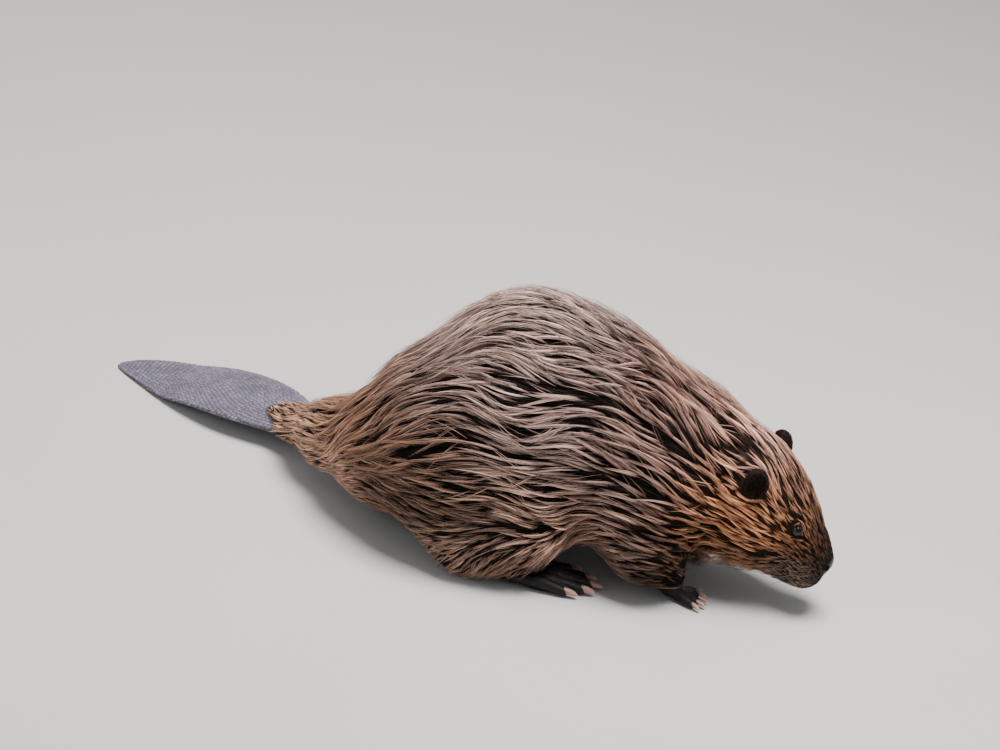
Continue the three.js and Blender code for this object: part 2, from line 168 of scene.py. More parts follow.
UPRIGHT = turned(0, 0)
HEAD_AXES = turned(HEAD_PITCH, HEAD_YAW)
HEAD_MIDDLE = NOSE_TIP - NOSE_REACH * HEAD_AXES[0]


def head_point(ahead, left, up):
    """A point given as ahead, left and up from the middle of the head."""
    return HEAD_MIDDLE + np.array([ahead, left, up]) @ HEAD_AXES


def head_oval(at, radii, pitch, yaw, blend):
    """A rounded mass of the head, turned against the head's own axes."""
    return oval(head_point(*at), radii, turned(pitch, yaw) @ HEAD_AXES, blend)


furred = [
    oval([30, 0, 166], [114, 124, 137], UPRIGHT, 60),  # loin
    oval([112, 0, 158], [110, 108, 126], turned(12, 0), 60),  # rib cage
    oval([198, -2, 138], [82, 90, 104], turned(22, 0), 50),  # shoulders
    oval([-56, 2, 114], [82, 124, 95], turned(-32, 0), 50),  # rump
    oval([-98, 6, 76], [62, 84, 56], turned(-28, 6), 45),  # seat
    oval([254, -5, 136], [84, 62, 82], turned(34, -8), 45),  # neck
]
for side in BOTH:
    furred += [
        oval(mirrored(side, 6, 82, 92), [88, 60, 78], turned(-14, 0), 45),  # haunch
        limb(mirrored(side, 56, 100, 60), mirrored(side, 0, 104, 34), 36, 28, 46),  # shank
        limb(mirrored(side, 196, 58, 116), mirrored(side, 200, 72, 66), 50, 38, 50),  # upper arm
        limb(mirrored(side, 200, 72, 60), mirrored(side, 232, 62, 32), 36, 23, 28),  # forearm
    ]
furred += [
    limb([-116, 8, 80], [-172, 50, 57], 54, 35, 45),  # root of the tail
    limb([-172, 50, 56], [-232, 124, 32], 34, 17, 30),
    head_oval([-36, 0, 10], [62, 56, 56], 0, 0, 30),  # cranium
    head_oval([14, 0, 14], [56, 40, 37], 16, 0, 24),  # forehead
    head_oval([60, 0, -6], [37, 33, 32], 12, 0, 16),  # muzzle
    *(head_oval([-10, 31 * side, -24], [54, 31, 42], 0, -14 * side, 20) for side in BOTH),  # cheeks
    *(head_oval([74, 15 * side, -18], [24, 18, 20], 0, 0, 10) for side in BOTH),  # upper lips
    head_oval([69, 0, -32], [26, 21, 14], 0, 0, 12),  # chin
    head_oval([16, 0, -42], [56, 31, 24], -4, 0, 20),  # lower jaw
    head_oval([-34, 0, -46], [60, 48, 38], 0, 0, 30),  # throat
    head_oval([85, 0, 0], [12, 17, 13], 0, 0, 6),  # nose pad
]

paws = []
for side in BOTH:
    paws.append(limb(mirrored(side, 60, 101, 14), mirrored(side, -2, 104, 16), 13, 15, 12))
    paws.append(oval(mirrored(side, 97, 88, 3), [42, 28, 6], UPRIGHT, 3))
    for (root_x, root_y), (x, y) in zip(HIND_TOE_ROOTS, HIND_TOE_TIPS):
        knuckle = [root_x * 0.42 + x * 0.58, root_y * 0.42 + y * 0.58, 11.5]
        paws.append(limb(mirrored(side, root_x, root_y, 12), mirrored(side, *knuckle), 7.6, 6.2, 3))
        paws.append(limb(mirrored(side, *knuckle), mirrored(side, x, y, 6.4), 6.4, 5.6, 3))
    paws.append(limb(mirrored(side, 228, 63, 32), mirrored(side, *FORE_WRIST), 17, 13, 8))
    for angle in FORE_FAN:
        fan = np.array([math.cos(angle), math.sin(angle)])
        root, tip = (np.array(FORE_WRIST[:2]) + reach * fan for reach in FORE_TOE)
        paws.append(limb(mirrored(side, *root, 7.6), mirrored(side, *tip, 5.2), 6.6, 4.6, 3))

chord = TAIL_TIP - TAIL_BASE
span = math.hypot(*chord)
tail_side = np.array([-chord[1], chord[0]]) / span
tail_radius = (span ** 2 / 4 + TAIL_BOW ** 2) / (2 * TAIL_BOW)
tail_pivot = (TAIL_BASE + TAIL_TIP) / 2 + tail_side * (tail_radius - TAIL_BOW)
tail_sweep = 2 * math.asin(span / 2 / tail_radius) * TAIL_OVERRUN
tail_outward = math.atan2(-tail_side[1], -tail_side[0])


def paddle_section(s):
    """Half width, half thickness and middle height of the tail at a share s of its length.
    The width is a bulging sine, the thickness tapers, the middle rises in an arch, and
    all close as the square root of 1 - |2s - 1| cubed."""
    s = np.clip(s, 0, 1)
    closing = np.sqrt(np.maximum(1 - np.abs(2 * s - 1) ** 3, 0))
    half = TAIL_HALF_WIDTH[0] + TAIL_HALF_WIDTH[1] * np.sin(np.pi * s ** 0.85)
    thick = TAIL_HALF_THICK[0] + TAIL_HALF_THICK[1] * (1 - s) ** 1.2
    rise = TAIL_ARCH * np.sin(np.pi * np.minimum(1, s / 0.72))
    rise = rise + TAIL_ROOT_RISE * np.maximum(0, 1 - s / 0.45) ** 2
    return half, thick, rise + closing * thick - TAIL_SUNK, closing


def paddle_place(p):
    """Share of the tail's length and distance to the left of its middle line, for each
    point: the angle and the radius about the pivot of the arc that the tail follows."""
    q = p[:, :2] - tail_pivot
    heading = np.arctan2(q[:, 1], q[:, 0]) - tail_outward
    heading = (heading + np.pi) % (2 * np.pi) - np.pi
    return 0.5 + heading / tail_sweep, length(q) - tail_radius


def paddle(p):
    """Distance to the tail: k (k - 1) / g, with k the root of |2s - 1| cubed + across
    squared + height squared, each over its own half size, and g the slope of k."""
    s, across = paddle_place(p)
    half, thick, middle, _ = paddle_section(s)
    end = np.abs(2 * s - 1)
    height = p[:, 2] - middle
    reach = np.sqrt(end ** 3 + (across / half) ** 2 + (height / thick) ** 2)
    half_length = tail_radius * tail_sweep / 2
    slope = np.sqrt((1.5 * end ** 2 / half_length) ** 2 + (across / half ** 2) ** 2
                    + (height / thick ** 2) ** 2)
    return np.maximum((reach - 1) * reach / (slope + 1e-6), -thick)


def laid(way, normal):
    """A way laid along the surface with the given normal: less its own part along it."""
    return way - np.einsum("...i,...i->...", way, normal)[..., None] * normal


def ear_axes(side):
    """Rows are the ear's own axes: the way it faces, its width and its height."""
    facing = unit(np.array([0.35, side * 0.93, 0.1]))
    tall = unit(laid(np.array([-0.6, 0, 1.0]), facing))
    return np.array([facing, np.cross(tall, facing), tall]) @ HEAD_AXES


ear_middles = {side: head_point(*mirrored(side, *EAR_AT)) for side in BOTH}
ears = [oval(ear_middles[side], EAR_SIZE, ear_axes(side), 5) for side in BOTH]


def along_tail(p):
    """How far each point lies along the root of the tail, from the edge of the rump."""
    return (p - [-174, 52, 58]) @ unit(np.array([-56.0, 70.0, -30.0]))


DEEPEST_COAT = 9.5


def coat_depth(p):
    """How far the skin lies under the tips of the coat: deep on the body, and less towards
    the nose, towards the floor and along the root of the tail."""
    ahead = (p - HEAD_MIDDLE) @ HEAD_AXES[0]
    towards_nose = np.interp(ahead, [-90, -50, 0, 30, 60, 80, 92],
                             [DEEPEST_COAT, 7.5, 5.0, 3.6, 2.4, 1.0, 0.2])
    towards_floor = np.interp(p[:, 2], [8, 30, 70, 120], [2.2, 4.5, 7.5, DEEPEST_COAT])
    towards_tail = np.interp(along_tail(p), [-30, 20, 60, 80], [DEEPEST_COAT, 6.0, 3.0, 0.6])
    return np.minimum(np.minimum(towards_nose, towards_floor), towards_tail).astype(np.float32)


eye_centres = {side: head_point(*mirrored(side, *EYE_AT)) for side in BOTH}


def slope_of(field, p, reach=0.6):
    """The way in which a field grows fastest, from four samples at a tetrahedron's corners."""
    corners = np.array([[1, -1, -1], [-1, -1, 1], [-1, 1, -1], [1, 1, 1]], np.float32)
    return sum(field(p + reach * c)[:, None] * c for c in corners) / (4 * reach)


def furred_field(p):
    """Distance to the outline at the tips of the coat."""
    return melted(furred, p)


eye_facing = {side: unit(slope_of(furred_field, eye_centres[side][None, :].astype(np.float32)))[0]
              for side in BOTH}
LID_RING = 7.3
LID_THICK = 1.9
LID_OUT = 3.0  # how far the lid's ring sits ahead of the eye's middle
LID_STRETCH = np.array([1.14, 0.9])  # along the eye's length and height


def eye_axes(side):
    """Rows are the way the eye faces, its length from corner to corner, and its height."""
    facing = eye_facing[side]
    corner_line = unit(laid(np.array([0.96, 0, 0.27]) @ HEAD_AXES, facing))
    return np.array([facing, corner_line, np.cross(facing, corner_line) * side])


def lid(side):
    """Distance to a stretched ring round the eye: the flat distance from the ring's line
    and the distance ahead of it, as one length, less the lid's thickness."""
    centre, axes = eye_centres[side], eye_axes(side)

    def field(p):
        q = (p - centre) @ axes.T
        flat = length(q[:, 1:] / LID_STRETCH) - LID_RING
        return np.hypot(flat, q[:, 0] - LID_OUT) - LID_THICK
    return field, 4.5


lids = [lid(side) for side in BOTH]
nostrils = [head_oval([93, 12 * side, 3.0], [6.0, 4.4, 2.8], 24, 30 * side, 1.5)
            for side in BOTH]
lip_line = []
for side in BOTH:
    lip_line += [
        limb(head_point(97, 0, -16), head_point(89, 12 * side, -29), 2.2, 2.6, 1),
        limb(head_point(89, 12 * side, -29), head_point(62, 33 * side, -33), 2.6, 1.6, 1),
    ]
lip_line.append(limb(head_point(101, 0, -2), head_point(98, 0, -18), 2.0, 1.8, 1))


def fur_field(p, swell=0.0):
    """Distance to the hide under the fur: the outline less the coat's depth, melted with
    the bare paws and tail. The tail can be swollen by a few mm."""
    total = melt(melted(furred, p) + coat_depth(p), melted(paws, p), PAW_BLEND)
    return melt(total, paddle(p) - swell, TAIL_BLEND)


def skin_field(p, swell=0.0):
    """Distance to the whole skin: the hide melted with ears and lids, with the nostrils and
    the line of the lips pressed in, and cut flat where the animal rests on the floor."""
    total = fur_field(p, swell)
    for field, blend in ears + lids:
        total = melt(total, field(p), blend)
    for field, blend in nostrils + lip_line:
        total = -melt(-total, field(p), blend)
    return np.maximum(total, -p[:, 2])


def halves(a, b, c, d):
    """Two triangles for each four-sided patch, given as arrays of its corners in turn."""
    return [np.stack([a, b, c], 1), np.stack([a, c, d], 1)]


def net(field, low, high, cell):
    """Surface net: one point in each grid cell that the surface crosses, at the mean of the
    crossings on the cell's edges, and one pair of triangles round each crossed grid edge."""
    counts = np.ceil((np.array(high) - low) / cell).astype(int) + 1
    grid = np.stack(np.meshgrid(*(np.arange(n) for n in counts), indexing="ij"), -1).reshape(-1, 3)
    points = (low + grid * cell).astype(np.float32)
    value = np.concatenate([field(part) for part in np.array_split(points, 1 + len(points) // 60000)])
    value = value.reshape(counts)
    inside = value < 0
    corner = [(i, j, k) for i in (0, 1) for j in (0, 1) for k in (0, 1)]
    window = [tuple(slice(c, n - 1 + c) for c, n in zip(ijk, counts)) for ijk in corner]
    filled = sum(inside[w].astype(int) for w in window)
    cells = np.argwhere((filled > 0) & (filled < 8))
    index = np.full(counts - 1, -1)
    index[tuple(cells.T)] = np.arange(len(cells))
    total = np.zeros((len(cells), 3))
    hits = np.zeros(len(cells))
    for a in corner:
        for b in corner:
            if sum(b) - sum(a) != 1 or np.abs(np.subtract(a, b)).sum() != 1:
                continue
            va, vb = value[tuple((cells + a).T)], value[tuple((cells + b).T)]
            crossed = (va < 0) != (vb < 0)
            share = np.where(crossed, va / np.where(crossed, va - vb, 1), 0)[:, None]
            total += np.where(crossed[:, None], cells + a + share * np.subtract(b, a), 0)
            hits += crossed
    vertices = low + cell * total / hits[:, None]
    triangles = []
    for axis in range(3):
        u, v = (axis + 1) % 3, (axis + 2) % 3
        near = [slice(1, -1)] * 3
        far = [slice(1, -1)] * 3
        near[axis], far[axis] = slice(0, -1), slice(1, None)
        offset = np.ones(3, int)
        offset[axis] = 0
        for here, ahead, turn in ((inside[tuple(near)], inside[tuple(far)], 1),
                                  (inside[tuple(far)], inside[tuple(near)], -1)):
            at = np.argwhere(here & ~ahead) + offset
            ring = []
            for du, dv in ((0, 0), (1, 0), (1, 1), (0, 1))[::turn]:
                cell_at = at.copy()
                cell_at[:, u] -= du
                cell_at[:, v] -= dv
                ring.append(index[tuple(cell_at.T)])
            triangles += halves(*ring)
    return vertices, np.concatenate(triangles)


def settle(field, p, times=3):
    """Moves points onto a field's zero: each step goes back along the slope by the value
    over the slope squared."""
    for _ in range(times):
        slope = slope_of(field, p)
        steep = np.maximum(np.einsum("ij,ij->i", slope, slope), 0.25)
        p = p - np.clip(field(p) / steep, -4, 4)[:, None] * slope
    return p


def refined(points, triangles, chosen):
    """Halves every edge whose two ends are both chosen: a triangle with three such edges
    becomes four, and one with a single such edge becomes two."""
    edges = np.sort(triangles[:, [[0, 1], [1, 2], [2, 0]]], axis=2).reshape(-1, 2)
    keys, place = np.unique(edges[:, 0] * len(points) + edges[:, 1], return_inverse=True)
    ends = np.stack([keys // len(points), keys % len(points)], 1)
    halved = chosen[ends].all(1)
    middle = np.where(halved, len(points) + np.cumsum(halved) - 1, -1)
    middle = middle[place].reshape(-1, 3)
    points = np.concatenate([points, points[ends[halved]].mean(1)])
    count = (middle >= 0).sum(1)
    made = [triangles[count == 0]]
    (a, b, c), (ab, bc, ca) = triangles[count == 3].T, middle[count == 3].T
    made += [np.stack(t, 1) for t in ((a, ab, ca), (ab, b, bc), (ca, bc, c), (ab, bc, ca))]
    for first in range(3):
        rows = (count == 1) & (middle[:, first] >= 0)
        a, b, c = np.roll(triangles[rows], -first, axis=1).T
        half = middle[rows, first]
        made += [np.stack((a, half, c), 1), np.stack((half, b, c), 1)]
    return points, np.concatenate(made)


HEAD_ZONE = (head_point(20, 0, -5), 118)  # a middle and a reach
MUZZLE_ZONE = (head_point(84, 0, -10), 44)
NOSE_ZONE = (head_point(95, 0, 0), 24)
TOES_ZONE = ((118, 88, 8), 42)
TOES_HIGH = 24
EAR_ZONE = 24
EYE_ZONE = 17
LID_ZONE = 12
RIM_WIDTH = 12


def within(p, centre, reach):
    """True for the points nearer to the centre than reach."""
    return length(p - centre) < reach


def fine_zone(p):
    """The head, the paws and the rim of the tail."""
    s, across = paddle_place(p)
    half, _, _, closing = paddle_section(s)
    rim = (s > 0.1) & (s < 1.1) & (np.abs(across) > half * closing - RIM_WIDTH) & (p[:, 2] < 60)
    low_legs = (p[:, 2] < 30) & (np.abs(p[:, 1]) > 30) & (p[:, 0] > -25)
    return within(p, *HEAD_ZONE) | low_legs | rim


def finer_zone(p):
    """The ears, the eyes, the muzzle and the toes."""
    found = within(p, *MUZZLE_ZONE)
    for side in BOTH:
        found |= within(p, eye_centres[side], EYE_ZONE)
        found |= within(p, ear_middles[side], EAR_ZONE)
        found |= within(p, mirrored(side, *TOES_ZONE[0]), TOES_ZONE[1]) & (p[:, 2] < TOES_HIGH)
    return found


def finest_zone(p):
    """The eyelids, the nose and the front of the lips."""
    found = within(p, *NOSE_ZONE)
    for side in BOTH:
        found |= within(p, eye_centres[side] + LID_OUT * eye_facing[side], LID_ZONE)
    return found


skin_points, skin_faces = net(lambda p: skin_field(p, TAIL_SWELL), SKIN_LOW, SKIN_HIGH, SKIN_CELL)
skin_points = settle(skin_field, skin_points.astype(np.float32))
for zone in (fine_zone, finer_zone, finest_zone):
    skin_points, skin_faces = refined(skin_points, skin_faces, zone(skin_points))
    skin_points = settle(skin_field, skin_points.astype(np.float32), 2)


def in_frame(points, origin, axes):
    """Points as seen from an origin, along the rows of axes."""
    return (points - origin) @ axes.T


def hollowed_ears(points):
    """Presses the bowl of the ear in: a point on the ear's outer face goes down to an
    ellipsoid's underside where that lies deeper."""
    for side in BOTH:
        axes = ear_axes(side)
        q = in_frame(points, ear_middles[side], axes)
        flat = (q[:, 1] / EAR_BOWL[1]) ** 2 + (q[:, 2] / EAR_BOWL[2]) ** 2
        bowl = EAR_BOWL_SHIFT - EAR_BOWL[0] * np.sqrt(np.maximum(1 - flat, 0))
        outer = (q[:, 0] > 0) & (q[:, 0] < EAR_SIZE[0] + 3)
        pressed = (flat < 1) & outer & (bowl < q[:, 0])
        points = points + np.where(pressed, bowl - q[:, 0], 0)[:, None] * axes[0]
    return points


LID_OPENING = np.array([6.7, 5.3])  # half length and half height of the opening
LID_EDGE = (1.06, 0.12)  # where the opening's edge ends, and how wide it is, in openings
SOCKET_DEPTH = 9.0
SOCKET_REACH = 16


def opened_lids(points):
    """Opens the lids: a point within the opening's oval goes straight in behind the eye."""
    for side in BOTH:
        axes = eye_axes(side)
        q = in_frame(points, eye_centres[side], axes)
        flat = length(q[:, 1:] / LID_OPENING)
        deep = np.clip((LID_EDGE[0] - flat) / LID_EDGE[1], 0, 1)
        deep = deep * (q[:, 0] > 0) * (length(q) < SOCKET_REACH)
        points = points - (deep * (q[:, 0] + SOCKET_DEPTH))[:, None] * axes[0]
    return points


skin_points = opened_lids(hollowed_ears(skin_points))


def smooth(low, high, x):
    """0 below low, 1 above high, and t t (3 - 2 t) between."""
    t = np.clip((x - low) / (high - low), 0, 1)
    return t * t * (3 - 2 * t)


def near(p, centre, reach):
    """1 at the centre, falling as a bell curve with the given reach."""
    q = p - centre
    return np.exp(-np.einsum("ij,ij->i", q, q) / (2 * reach ** 2))


def bare_share(p):
    """1 on bare leather and 0 under fur: nose, ears, paws and tail are bare."""
    bare = smooth(2.2, 0.4, paddle(p))
    bare = np.maximum(bare, smooth(2.5, 0.5, melted(paws, p)) * smooth(24, 17, p[:, 2]))
    for parts, edge in ((ears, (2.0, 0.2)), (lids, (1.6, 0.1))):
        for field, _ in parts:
            bare = np.maximum(bare, smooth(*edge, field(p)))
    nose = head_oval([89, 0, 0], [18, 16.5, 12.5], 0, 0, 1)[0]
    return np.maximum(bare, smooth(0.8, -0.6, nose(p)))


# The markings, as a colour, a place in mm (mirrored left and right) and a reach; a few of them
# are painted light or shade rather than the coat's own colour, as noted. Those of the face are
# placed ahead, out and up from the middle of the head.
MARKINGS_AND_PAINTED_LIGHT = [
    ([0.540, 0.370, 0.325], [60, 30, 275], 66),  # taupe back, paler in part as a painted wet sheen from above
    ([0.420, 0.285, 0.240], [-25, 55, 230], 38),
    ([0.370, 0.250, 0.218], [100, 100, 200], 50),
    ([0.390, 0.255, 0.215], [110, 110, 140], 42),  # flank
    ([0.250, 0.148, 0.122], [200, 80, 170], 55),  # shoulder
    ([0.540, 0.300, 0.230], [250, 40, 205], 42),  # neck
    ([0.110, 0.058, 0.036], [15, 135, 90], 66),  # haunch
    ([0.130, 0.066, 0.040], [-35, 125, 120], 46),
    # painted light: paler low on the haunch, lifting the shade near the floor
    ([0.800, 0.480, 0.350], [0, 120, 34], 36),
    ([0.800, 0.470, 0.335], [110, 90, 70], 45),  # belly fringe
    ([0.120, 0.078, 0.060], [215, 70, 40], 32),  # foreleg
    ([0.360, 0.185, 0.115], [-110, 70, 120], 60),  # rump
    ([0.950, 0.560, 0.370], [-190, 60, 55], 44),  # root of the tail
    ([0.150, 0.095, 0.070], [100, 0, 20], 60),  # underside
]
FACE_MARKINGS_AND_PAINTED_SHADE = [
    ([0.900, 0.550, 0.440], [-50, 10, 60], 34),  # nape and crown
    ([0.380, 0.175, 0.105], [4, 15, 50], 27),
    ([0.800, 0.355, 0.160], [-30, 55, -10], 30),  # cheek, ginger
    ([0.810, 0.350, 0.150], [10, 45, -10], 24),
    ([0.320, 0.125, 0.055], [50, 25, 10], 15),  # before the eye
    ([0.038, 0.018, 0.012], [72, 12, 14], 16),  # dark muzzle
    ([0.022, 0.013, 0.011], [86, 14, -4], 14),
    ([0.290, 0.215, 0.170], [74, 18, -30], 13),  # grizzled lips
    ([0.260, 0.140, 0.082], [20, 20, -60], 34),  # jaw and throat
    # painted shade under the jaw, where the throat meets the forearm
    ([0.070, 0.036, 0.022], [-55, 30, -70], 34),
]


def one_side(p):
    """Points of the right side moved across to their twins on the left."""
    return p * [1, 0, 1] + np.abs(p) * [0, 1, 0]


def marking_and_painted_light(p):
    """The coat's colour, with the painted light and shade among its markings: each marking's colour
    weighted by a bell curve of the distance to its place, mirrored left and right."""
    aside = one_side(p)
    face = in_frame(p, HEAD_MIDDLE, HEAD_AXES)
    face[:, 1] = np.abs(face[:, 1])
    on_face = smooth(-125, -30, face[:, 0])
    total = np.full(len(p), 1e-5)
    colour = total[:, None] * [0.2, 0.14, 0.11]
    for places, marks, share in ((aside, MARKINGS_AND_PAINTED_LIGHT, 1 - on_face), (face, FACE_MARKINGS_AND_PAINTED_SHADE, on_face)):
        for shade, place, reach in marks:
            weight = near(places, place, reach) * share
            total = total + weight
            colour = colour + weight[:, None] * shade
    return colour / total[:, None]


def to_row(points):
    """From mm in the body's frame to metres in the row's frame."""
    return points / 1000 + BODY_ORIGIN


def new_piece(name, points, faces, material, **attributes):
    """A mesh object from arrays: points in metres, triangles, and one value, vector or
    colour at each point for every named attribute."""
    mesh = bpy.data.meshes.new(name)
    mesh.vertices.add(len(points))
    mesh.vertices.foreach_set("co", points.astype(np.float32).ravel())
    mesh.loops.add(faces.size)
    mesh.loops.foreach_set("vertex_index", faces.astype(np.int32).ravel())
    mesh.polygons.add(len(faces))
    mesh.polygons.foreach_set("loop_start", np.arange(0, faces.size, faces.shape[1], dtype=np.int32))
    mesh.polygons.foreach_set("use_smooth", np.ones(len(faces), bool))
    mesh.update(calc_edges=True)
    for key, values in attributes.items():
        values = np.asarray(values, np.float32)
        kind, field = {1: ("FLOAT", "value"), 3: ("FLOAT_VECTOR", "vector"),
                       4: ("FLOAT_COLOR", "color")}[1 if values.ndim == 1 else values.shape[1]]
        mesh.attributes.new(key, kind, "POINT").data.foreach_set(field, values.ravel())
    mesh.materials.append(material)
    piece = bpy.data.objects.new(name, mesh)
    bpy.context.collection.objects.link(piece)
    return piece


def new_material(name, roughness, specular=0.5, coat=0.0, coat_roughness=0.2):
    """A Principled material with its constant sockets set, and its tree."""
    material = bpy.data.materials.new(name)
    material.use_nodes = True
    tree = material.node_tree
    shader = tree.nodes["Principled BSDF"]
    shader.inputs["Roughness"].default_value = roughness
    shader.inputs["Specular IOR Level"].default_value = specular
    shader.inputs["Coat Weight"].default_value = coat
    shader.inputs["Coat Roughness"].default_value = coat_roughness
    return material, tree


def node(tree, kind, links=(), **settings):
    """A shader node with its settings, and its inputs joined to sockets or set to values."""
    made = tree.nodes.new(kind)
    for key, value in settings.items():
        setattr(made, key, value)
    for key, value in dict(links).items():
        socket = made.inputs[key]
        if isinstance(value, bpy.types.NodeSocket):
            tree.links.new(value, socket)
        else:
            socket.default_value = value
    return made


def feed(tree, sockets):
    """Joins sockets to the inputs of a material's shader."""
    for key, socket in sockets.items():
        tree.links.new(socket, tree.nodes["Principled BSDF"].inputs[key])


def attribute(tree, name, output="Color"):
    """The named attribute of the mesh as a socket."""
    return node(tree, "ShaderNodeAttribute", attribute_name=name).outputs[output]


def object_place(tree):
    """The place on the object itself, in metres."""
    return node(tree, "ShaderNodeTexCoord").outputs["Object"]


def noise(tree, vector, scale, detail):
    """Fractal noise from 0 to 1."""
    return node(tree, "ShaderNodeTexNoise",
                {"Vector": vector, "Scale": scale, "Detail": detail}).outputs["Fac"]


def ranged(tree, value, low, high):
    """A straight line through two pairs of value and result, level beyond them."""
    ends = {1: low[0], 2: high[0], 3: low[1], 4: high[1]}
    return node(tree, "ShaderNodeMapRange", {"Value": value, **ends}).outputs[0]


def bumped(tree, height, strength, distance, **normal):
    """The normal of a relief whose height of 1 stands out by the distance in metres."""
    return node(tree, "ShaderNodeBump", {"Height": height, "Strength": strength,
                                         "Distance": distance, **normal}).outputs[0]


def ramp(tree, factor, *stops):
    """A colour ramp through (place, colour) stops."""
    made = node(tree, "ShaderNodeValToRGB", {"Fac": factor})
    ends = made.color_ramp.elements
    while len(ends) < len(stops):
        ends.new(0.5)
    for end, (place, colour) in zip(ends, stops):
        end.position = place
        end.color = (*colour, 1)
    return made.outputs["Color"]


def mottle_group():
    """A node group that mottles a colour: noise between Low and High becomes a blend from
    Dark to Light, which multiplies the colour. The noise itself comes out as a height."""
    group = bpy.data.node_groups.new("mottle", "ShaderNodeTree")
    for name, kind in {"Colour": "Color", "Vector": "Vector", "Scale": "Float", "Detail": "Float",
                       "Low": "Float", "High": "Float", "Dark": "Color", "Light": "Color"}.items():
        group.interface.new_socket(name, in_out="INPUT", socket_type=f"NodeSocket{kind}")
    group.interface.new_socket("Colour", in_out="OUTPUT", socket_type="NodeSocketColor")
    group.interface.new_socket("Height", in_out="OUTPUT", socket_type="NodeSocketFloat")
    given = node(group, "NodeGroupInput").outputs
    height = noise(group, given["Vector"], given["Scale"], given["Detail"])
    share = ranged(group, height, (given["Low"], 0.0), (given["High"], 1.0))
    blend = node(group, "ShaderNodeMix", {0: share, 6: given["Dark"], 7: given["Light"]},
                 data_type="RGBA")
    shaded = node(group, "ShaderNodeMix", {0: 1.0, 6: given["Colour"], 7: blend.outputs[2]},
                  data_type="RGBA", blend_type="MULTIPLY")
    node(group, "NodeGroupOutput", {"Colour": shaded.outputs[2], "Height": height})
    return group


mottle = mottle_group()


def mottled(tree, colour, vector, scale, detail, low, high):
    """The mottle group in a material: its colour and its height. Low and high are each a
    noise value and the colour there."""
    made = node(tree, "ShaderNodeGroup",
                {"Colour": colour, "Vector": vector, "Scale": scale, "Detail": detail, "Low": low[0],
                 "High": high[0], "Dark": (*low[1], 1), "Light": (*high[1], 1)}, node_tree=mottle)
    return made.outputs["Colour"], made.outputs["Height"]


skin_material, tree = new_material("hide", 0.5, 0.12)
place = object_place(tree)
damp = attribute(tree, "wet", "Fac")
pores = node(tree, "ShaderNodeTexVoronoi", {"Vector": place, "Scale": 620.0},
             feature="DISTANCE_TO_EDGE").outputs["Distance"]
shade, creases = mottled(tree, attribute(tree, "tint"), place, 190.0, 5.0,
                         (0.3, (0.62, 0.62, 0.62)), (0.7, (1.25, 1.22, 1.2)))
relief = node(tree, "ShaderNodeMix", {0: attribute(tree, "bare", "Fac"),
                                      2: noise(tree, place, 900.0, 3.0), 3: creases}).outputs[0]
feed(tree, {"Base Color": shade,
            "Roughness": ranged(tree, damp, (0, 0.7), (1, 0.33)),
            "Specular IOR Level": ranged(tree, damp, (0, 0.10), (1, 0.22)),
            "Normal": bumped(tree, pores, 0.7, 0.0008, Normal=bumped(tree, relief, 0.55, 0.0006))})

UNDERFUR_AND_GAP_SHADE = 0.045  # how bright the underfur is against the coat's colour over it: near black, partly as painted shade in the gaps of the coat
LEATHER = np.array([0.010, 0.0085, 0.0085])
TAIL_SLATE = np.array([0.100, 0.097, 0.112])
LID_SHADE = 0.8
leather = bare_share(skin_points)
on_tail = smooth(3, 0.4, paddle(skin_points))[:, None]
underfur_and_gap_shade = marking_and_painted_light(skin_points) * UNDERFUR_AND_GAP_SHADE
wet = smooth(3, 0, head_oval([90, 0, 0], [16, 15, 11], 0, 0, 1)[0](skin_points))
wet = np.maximum(wet, 0.8 * smooth(2.5, 0.5, melted(paws, skin_points)))
for side in BOTH:
    wet = np.maximum(wet, 0.6 * near(skin_points, eye_centres[side], 7))
bare_tint = LEATHER * (1 - on_tail) + TAIL_SLATE * on_tail
skin_tint = underfur_and_gap_shade * (1 - leather[:, None]) + bare_tint * leather[:, None]
for side in BOTH:
    skin_tint = skin_tint * (1 - LID_SHADE * near(skin_points, eye_centres[side], 6.5)[:, None])
skin = new_piece("skin", to_row(skin_points), skin_faces, skin_material,
                 tint=np.column_stack([skin_tint, np.ones(len(skin_tint))]), bare=leather, wet=wet)
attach(skin, "root")
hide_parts("head", "neck", "trunk", "tail_root", "tail_paddle",
            *(f"{part}_{side}" for part in ("foreleg", "hind_leg", "forepaw", "hind_foot", "ear")
              for side in SIDES))


# ------------------------------------------------------------------ eyes
# A dark, wet eyeball in each socket: a ball with a slightly raised front, near-black
# brown with a faint ring where the iris ends.
EYE_GAP = 0.1  # between the eyeball and the socket's own radius
EYE_BULGE = 0.05  # of the radius, at the front


def ball(centre, radius, axes, around=48, rings=32):
    """A sphere on a grid of turns and tilts about its facing axis; the front bulges by a
    twentieth, as a bell curve of the tilt. A single point closes each end."""
    tilt = np.linspace(0, np.pi, rings + 1)[1:-1, None]
    turn = np.linspace(0, 2 * np.pi, around, endpoint=False)[None, :]
    reach = radius * (1 + EYE_BULGE * np.exp(-(tilt / 0.5) ** 2))
    flat = np.stack([reach * np.cos(tilt) + 0 * turn, reach * np.sin(tilt) * np.cos(turn),
                     reach * np.sin(tilt) * np.sin(turn)], -1).reshape(-1, 3)
    poles = np.array([[radius * (1 + EYE_BULGE), 0, 0], [-radius, 0, 0]])
    grid = np.arange((rings - 1) * around).reshape(rings - 1, around)
    right = np.roll(grid, -1, axis=1)
    a, b, c, d = (x.ravel() for x in (grid[:-1], grid[1:], right[1:], right[:-1]))
    front, back = len(flat), len(flat) + 1
    first, last = grid[0], grid[-1]
    caps = [np.stack([np.full(around, front), first, right[0]], 1),
            np.stack([np.full(around, back), right[-1], last], 1)]
    faces = np.concatenate([*halves(a, b, c, d), *caps])
    return centre + np.concatenate([flat, poles]) @ axes, faces


